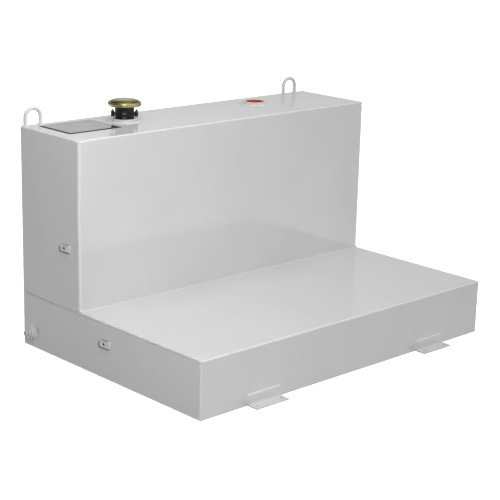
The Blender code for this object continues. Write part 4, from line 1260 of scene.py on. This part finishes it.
def make_port_plug(orange):
    """Cup-shaped plastic plug with moulded ribs inside."""
    flange = radius_of("port_plug")
    bottom, top = heights_of("port_plug")
    seat = top - PLUG_FLANGE_THICKNESS
    body = radius_of("filler_neck")
    hollow = body - PLUG_WALL
    floor = bottom + PLUG_FLOOR
    corners = ((0.0, floor + PLUG_BOSS_HEIGHT), (PLUG_BOSS_RADIUS, floor + PLUG_BOSS_HEIGHT),
               (PLUG_BOSS_RADIUS, floor), (hollow, floor), (hollow + 0.0006, top), (flange, top),
               (flange, seat), (body, seat), (body, bottom), (0.0, bottom))
    cup = turned_mesh(eased(corners, EASED["plug"]), PORT)
    rib = box_tool((hollow - PLUG_BOSS_RADIUS) + 0.0006, PLUG_RIB_WIDTH, PLUG_RIB_HEIGHT)
    bmesh.ops.translate(rib, vec=(0.0, 0.0, floor + 0.0012), verts=rib.verts)
    round_edges(rib, EASED["rib"], 2)
    ribs = run_tree(ring_tree(), new_object("work", smoothed(mesh_from("rib", rib))), {
        "Count": PLUG_RIB_COUNT, "Circle Radius": (hollow + PLUG_BOSS_RADIUS) / 2,
        "First Angle": PLUG_RIB_TURN, "Centre": PORT, "Finish": orange})
    add_piece("plug", joined(cup, ribs), orange, "port_plug", "orange_plastic", "port_plug")


def make_loops(white):
    """Lifting loops of bent rod, with a weld round each foot."""
    lines = []
    for node in ("left_loop", "right_loop"):
        low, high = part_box(node)
        rod = (high.y - low.y) / 2
        middle = middle_of(node)
        half = (high.x - low.x) / 2 - rod
        spring = high.z - rod - half
        places = [(middle.x - half, middle.y, TOP - FIT)]
        places += [(x, middle.y, z) for x, z in arc((middle.x, spring), half, 180, 0, 32)]
        places.append((middle.x + half, middle.y, TOP - FIT))
        curve = working_paths([(places, 1.0, False)])
        curve.data.bevel_depth = rod
        curve.data.bevel_resolution = 6
        curve.data.use_fill_caps = True
        add_coated(node + "_rod", smoothed(baked_copy(curve)), white, node)
        for side in (-half, half):
            foot = Vector((middle.x + side, middle.y, TOP + 0.0002))
            lines.append(ring_line(foot, rod + 0.0006, FITTING_WELD, steps=32))
    add_beads("loop_welds", lines, white)


def make_drain(white, lit_weld_white):
    """Drain: weld flange, reducer bushing and a plug with a square socket, facing left."""
    face_left = Matrix.Translation(DRAIN) @ Matrix.Rotation(math.radians(-90), 4, "Y")
    disc = radius_of("drain_flange", 1)
    bushing = radius_of("drain_bushing", 1)
    head = radius_of("drain_plug", 1)
    bore = bushing + FIT
    rise, depth = [DRAIN.x - corner.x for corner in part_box("drain_flange")]
    bushing_rise = DRAIN.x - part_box("drain_bushing")[0].x
    plug_rise, plug_depth = [DRAIN.x - corner.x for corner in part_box("drain_plug")]
    flange = eased(((bore, rise), (DRAIN_HUB_RADIUS, rise), (DRAIN_HUB_RADIUS, DRAIN_FLANGE_THICKNESS),
                    (disc, DRAIN_FLANGE_THICKNESS), (disc, 0.0), (DRAIN_SPIGOT_RADIUS, 0.0),
                    (DRAIN_SPIGOT_RADIUS, depth), (bore, depth)), EASED["drain_flange"])
    add_coated("drain_ring", turned_mesh(flange, face_left, 72), white, "drain_flange")
    plug_bore = DRAIN_PLUG_RADIUS + FIT
    reducer = eased(((plug_bore, bushing_rise), (bushing, bushing_rise), (bushing, depth),
                     (plug_bore, depth)), EASED["drain"])
    add_coated("reducer", turned_mesh(reducer, face_left, 64), white, "drain_bushing")
    core = DRAIN_PLUG_RADIUS - THREAD_DEPTH
    under_head = bushing_rise + FIT
    stopper = eased(((0.0, plug_rise), (head, plug_rise), (head, under_head), (core, under_head),
                     (core, plug_depth), (0.0, plug_depth)), EASED["drain"])
    tool = box_tool(DRAIN_SOCKET_WIDTH, DRAIN_SOCKET_WIDTH, 2 * DRAIN_SOCKET_DEPTH)
    round_edges(tool, EASED["socket"], 2,
                pick=lambda edge: abs(edge.verts[0].co.z - edge.verts[1].co.z) > DRAIN_SOCKET_DEPTH)
    bmesh.ops.translate(tool, vec=(0, 0, plug_rise), verts=tool.verts)
    plug = cut_away(turned_mesh(stopper, Matrix(), 64), tool)
    turns = (bushing_rise - plug_depth) / DRAIN_PITCH - 1.5
    start = plug_depth + THREAD_START["drain"]
    winding = wound_thread(DRAIN_PLUG_RADIUS, DRAIN_PITCH, turns, start, white, Vector())
    plug = joined(smoothed(plug, math.radians(40)), winding)
    plug.transform(face_left)
    add_piece("drain_stopper", plug, white, "drain_plug", "powder_coat", "drain_plug")
    add_beads("drain_weld", [ring_line(DRAIN, disc, DRAIN_WELD, "X")], lit_weld_white)


def tab_mesh(node):
    """A lock tab: welded down at its front, sloping up to a raised plate with a hole."""
    low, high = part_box(node)
    raised = low.x + TAB_THICKNESS
    outside = ((LEFT - 0.0006, low.y), (LEFT - TAB_THICKNESS, low.y + 0.001),
               (low.x, low.y + TAB_SLOPE), (low.x, high.y))
    inside = ((raised, high.y), (raised, low.y + TAB_SLOPE + 0.001), (LEFT - 0.0001, low.y + 0.003),
              (LEFT - 0.0001, low.y))
    bm = bmesh.new()
    face = bm.faces.new([bm.verts.new((x, y, low.z)) for x, y in outside + inside])
    grown = bmesh.ops.extrude_face_region(bm, geom=[face])["geom"]
    bmesh.ops.translate(bm, vec=(0, 0, high.z - low.z),
                        verts=[item for item in grown if isinstance(item, bmesh.types.BMVert)])
    bmesh.ops.recalc_face_normals(bm, faces=bm.faces)

    def end_corner(edge):
        first, second = edge.verts[0].co, edge.verts[1].co
        level = abs(first.y - second.y) < 0.0001 and abs(first.z - second.z) < 0.0001
        return level and first.y > high.y - 0.0001

    round_edges(bm, EASED["tab_corner"], 5, math.radians(60), end_corner)
    round_edges(bm, EASED["tab_edge"], 2)
    hole = Vector((raised, high.y - TAB_HOLE_FROM_END, (low.z + high.z) / 2))
    sideways = Matrix.Translation(hole) @ Matrix.Rotation(math.pi / 2, 4, "Y")
    return smoothed(cut_away(mesh_from("tab", bm), rod_tool(TAB_HOLE_RADIUS, 0.006, 32, sideways)))


def make_tabs(white, lit_weld_white, black):
    """Lock tabs on the left end, a black sheet behind each as painted shade that also blackens its
    hole, and their welds.
    """
    lines = []
    for node in ("upper_tab", "lower_tab"):
        low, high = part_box(node)
        add_coated(node + "_plate", tab_mesh(node), white, node)
        # The black sheet is painted shade: it lies where the tab's shadow and the dark of its hole
        # fall
        start, stop = low.y + TAB_SLOPE, high.y + TAB_SHADE_BACK
        foot, head = low.z - TAB_SHADE_FOOT, high.z - TAB_SHADE_HEAD
        rim = [(start, head), (start, foot)]
        round_end = TAB_SHADE_CORNER
        rim += arc((stop - round_end, foot + round_end), round_end, 270, 360)
        rim += [(stop, head - round_end), (stop - round_end, head)]
        patch = flat_plate([rim], 0.0, TAB_SHADE_THICKNESS)
        bmesh.ops.transform(patch, verts=patch.verts, matrix=Matrix(
            ((0, 0, -1, LEFT + 0.0001), (1, 0, 0, 0), (0, 1, 0, 0), (0, 0, 0, 1))))
        bmesh.ops.recalc_face_normals(patch, faces=patch.faces)
        add_piece(node + "_painted_shade_patch", mesh_from("patch", patch), black, "tank", "black_iron")
        x = LEFT - 0.0010
        lines.append(([(x, low.y + 0.011, high.z), (x, low.y + 0.002, high.z),
                       (x, low.y, high.z - 0.003), (x, low.y, low.z + 0.003),
                       (x, low.y + 0.002, low.z), (x, low.y + 0.009, low.z)], FITTING_WELD, False))
    add_beads("tab_welds", lines, lit_weld_white)


def make_brackets(white, lit_weld_white):
    """Hold-down angles with eased corners, and the wide beads along their tops and left ends."""
    def plate_corner(edge):
        first, second = edge.verts[0].co, edge.verts[1].co
        return (first - second).length < 0.006 and abs(first.x - second.x) < 0.0001

    lines = []
    for node in ("left_bracket", "right_bracket"):
        low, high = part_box(node)
        bm = merged_node(node)
        round_edges(bm, EASED["bracket_corner"], 3, math.radians(60), plate_corner)
        round_edges(bm, EASED["bracket_edge"], 2)
        add_coated(node + "_angle", smoothed(mesh_from("bracket", bm), math.radians(30)), white, node)
        y = FRONT - 0.0002
        left = low.x - 0.0008
        lines.append(([(left, y, 0.008), (left, y, high.z - 0.001), (low.x + 0.001, y, high.z),
                       (high.x - 0.006, y, high.z)], BRACKET_WELD, False))
    add_beads("bracket_welds", lines, lit_weld_white)


def make_label(silver, charcoal):
    """The label's plate, left bare: a silver face in a charcoal edge with one dark corner."""
    left, right, front, back = LABEL
    inner = (left + LABEL_EDGE, right - LABEL_FAR_EDGE, front + LABEL_EDGE, back - LABEL_FAR_EDGE)
    frame_hole = [(inner[0], inner[2]), (right - LABEL_WEDGE[0], inner[2]),
                  (inner[1], front + LABEL_WEDGE[1]), (inner[1], inner[3]), (inner[0], inner[3])]
    rim = []
    for centre, first in (((right, back), 0), ((left, back), 90), ((left, front), 180),
                          ((right, front), 270)):
        inward = (math.copysign(LABEL_CORNER, -centre[0] + (left + right) / 2),
                  math.copysign(LABEL_CORNER, -centre[1] + (front + back) / 2))
        rim += arc((centre[0] + inward[0], centre[1] + inward[1]), LABEL_CORNER, first, first + 90)
    border = flat_plate([rim, frame_hole], TOP - PLATE_SINK, TOP + LABEL_THICKNESS)
    round_edges(border, EASED["label"], 1)
    add_piece("label_edge", smoothed(mesh_from("label", border)), charcoal, "tank", "black_iron")
    face = flat_plate([frame_hole], TOP - PLATE_SINK, TOP + LABEL_THICKNESS - LABEL_FACE_SINK)
    add_piece("label_face", smoothed(mesh_from("label", face)), silver, "tank", "bare_steel")


def make_all():
    """Every piece in turn."""
    white = powder_coat("white powder coat", WHITE)
    # Welds, tabs' welds and brackets' welds get a lighter copy of the white: painted highlight
    lit_weld_white = powder_coat("white powder coat on welds, painted lighter", WELD_LIT_WHITE, WELD_SKIN)
    black = plain_finish("black iron")
    zinc = plain_finish("bright zinc")
    steel = bare_steel()
    make_sheets(white)
    make_welds(lit_weld_white)
    make_top_fittings(white, black, zinc)
    make_cap(yellow_zinc(), zinc, plain_finish("black rubber"), plain_finish("grey felt"))
    make_port_plug(plain_finish("orange plastic"))
    make_loops(white)
    make_drain(white, lit_weld_white)
    make_tabs(white, lit_weld_white, black)
    make_brackets(white, lit_weld_white)
    make_label(label_silver(), plain_finish("label charcoal"))
    for node in ("left_baffle", "right_baffle"):
        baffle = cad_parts[node]
        for slot in baffle.material_slots:
            slot.material = steel


add_camera()
light_the_studio()
add_floor(studio_white())
make_all()
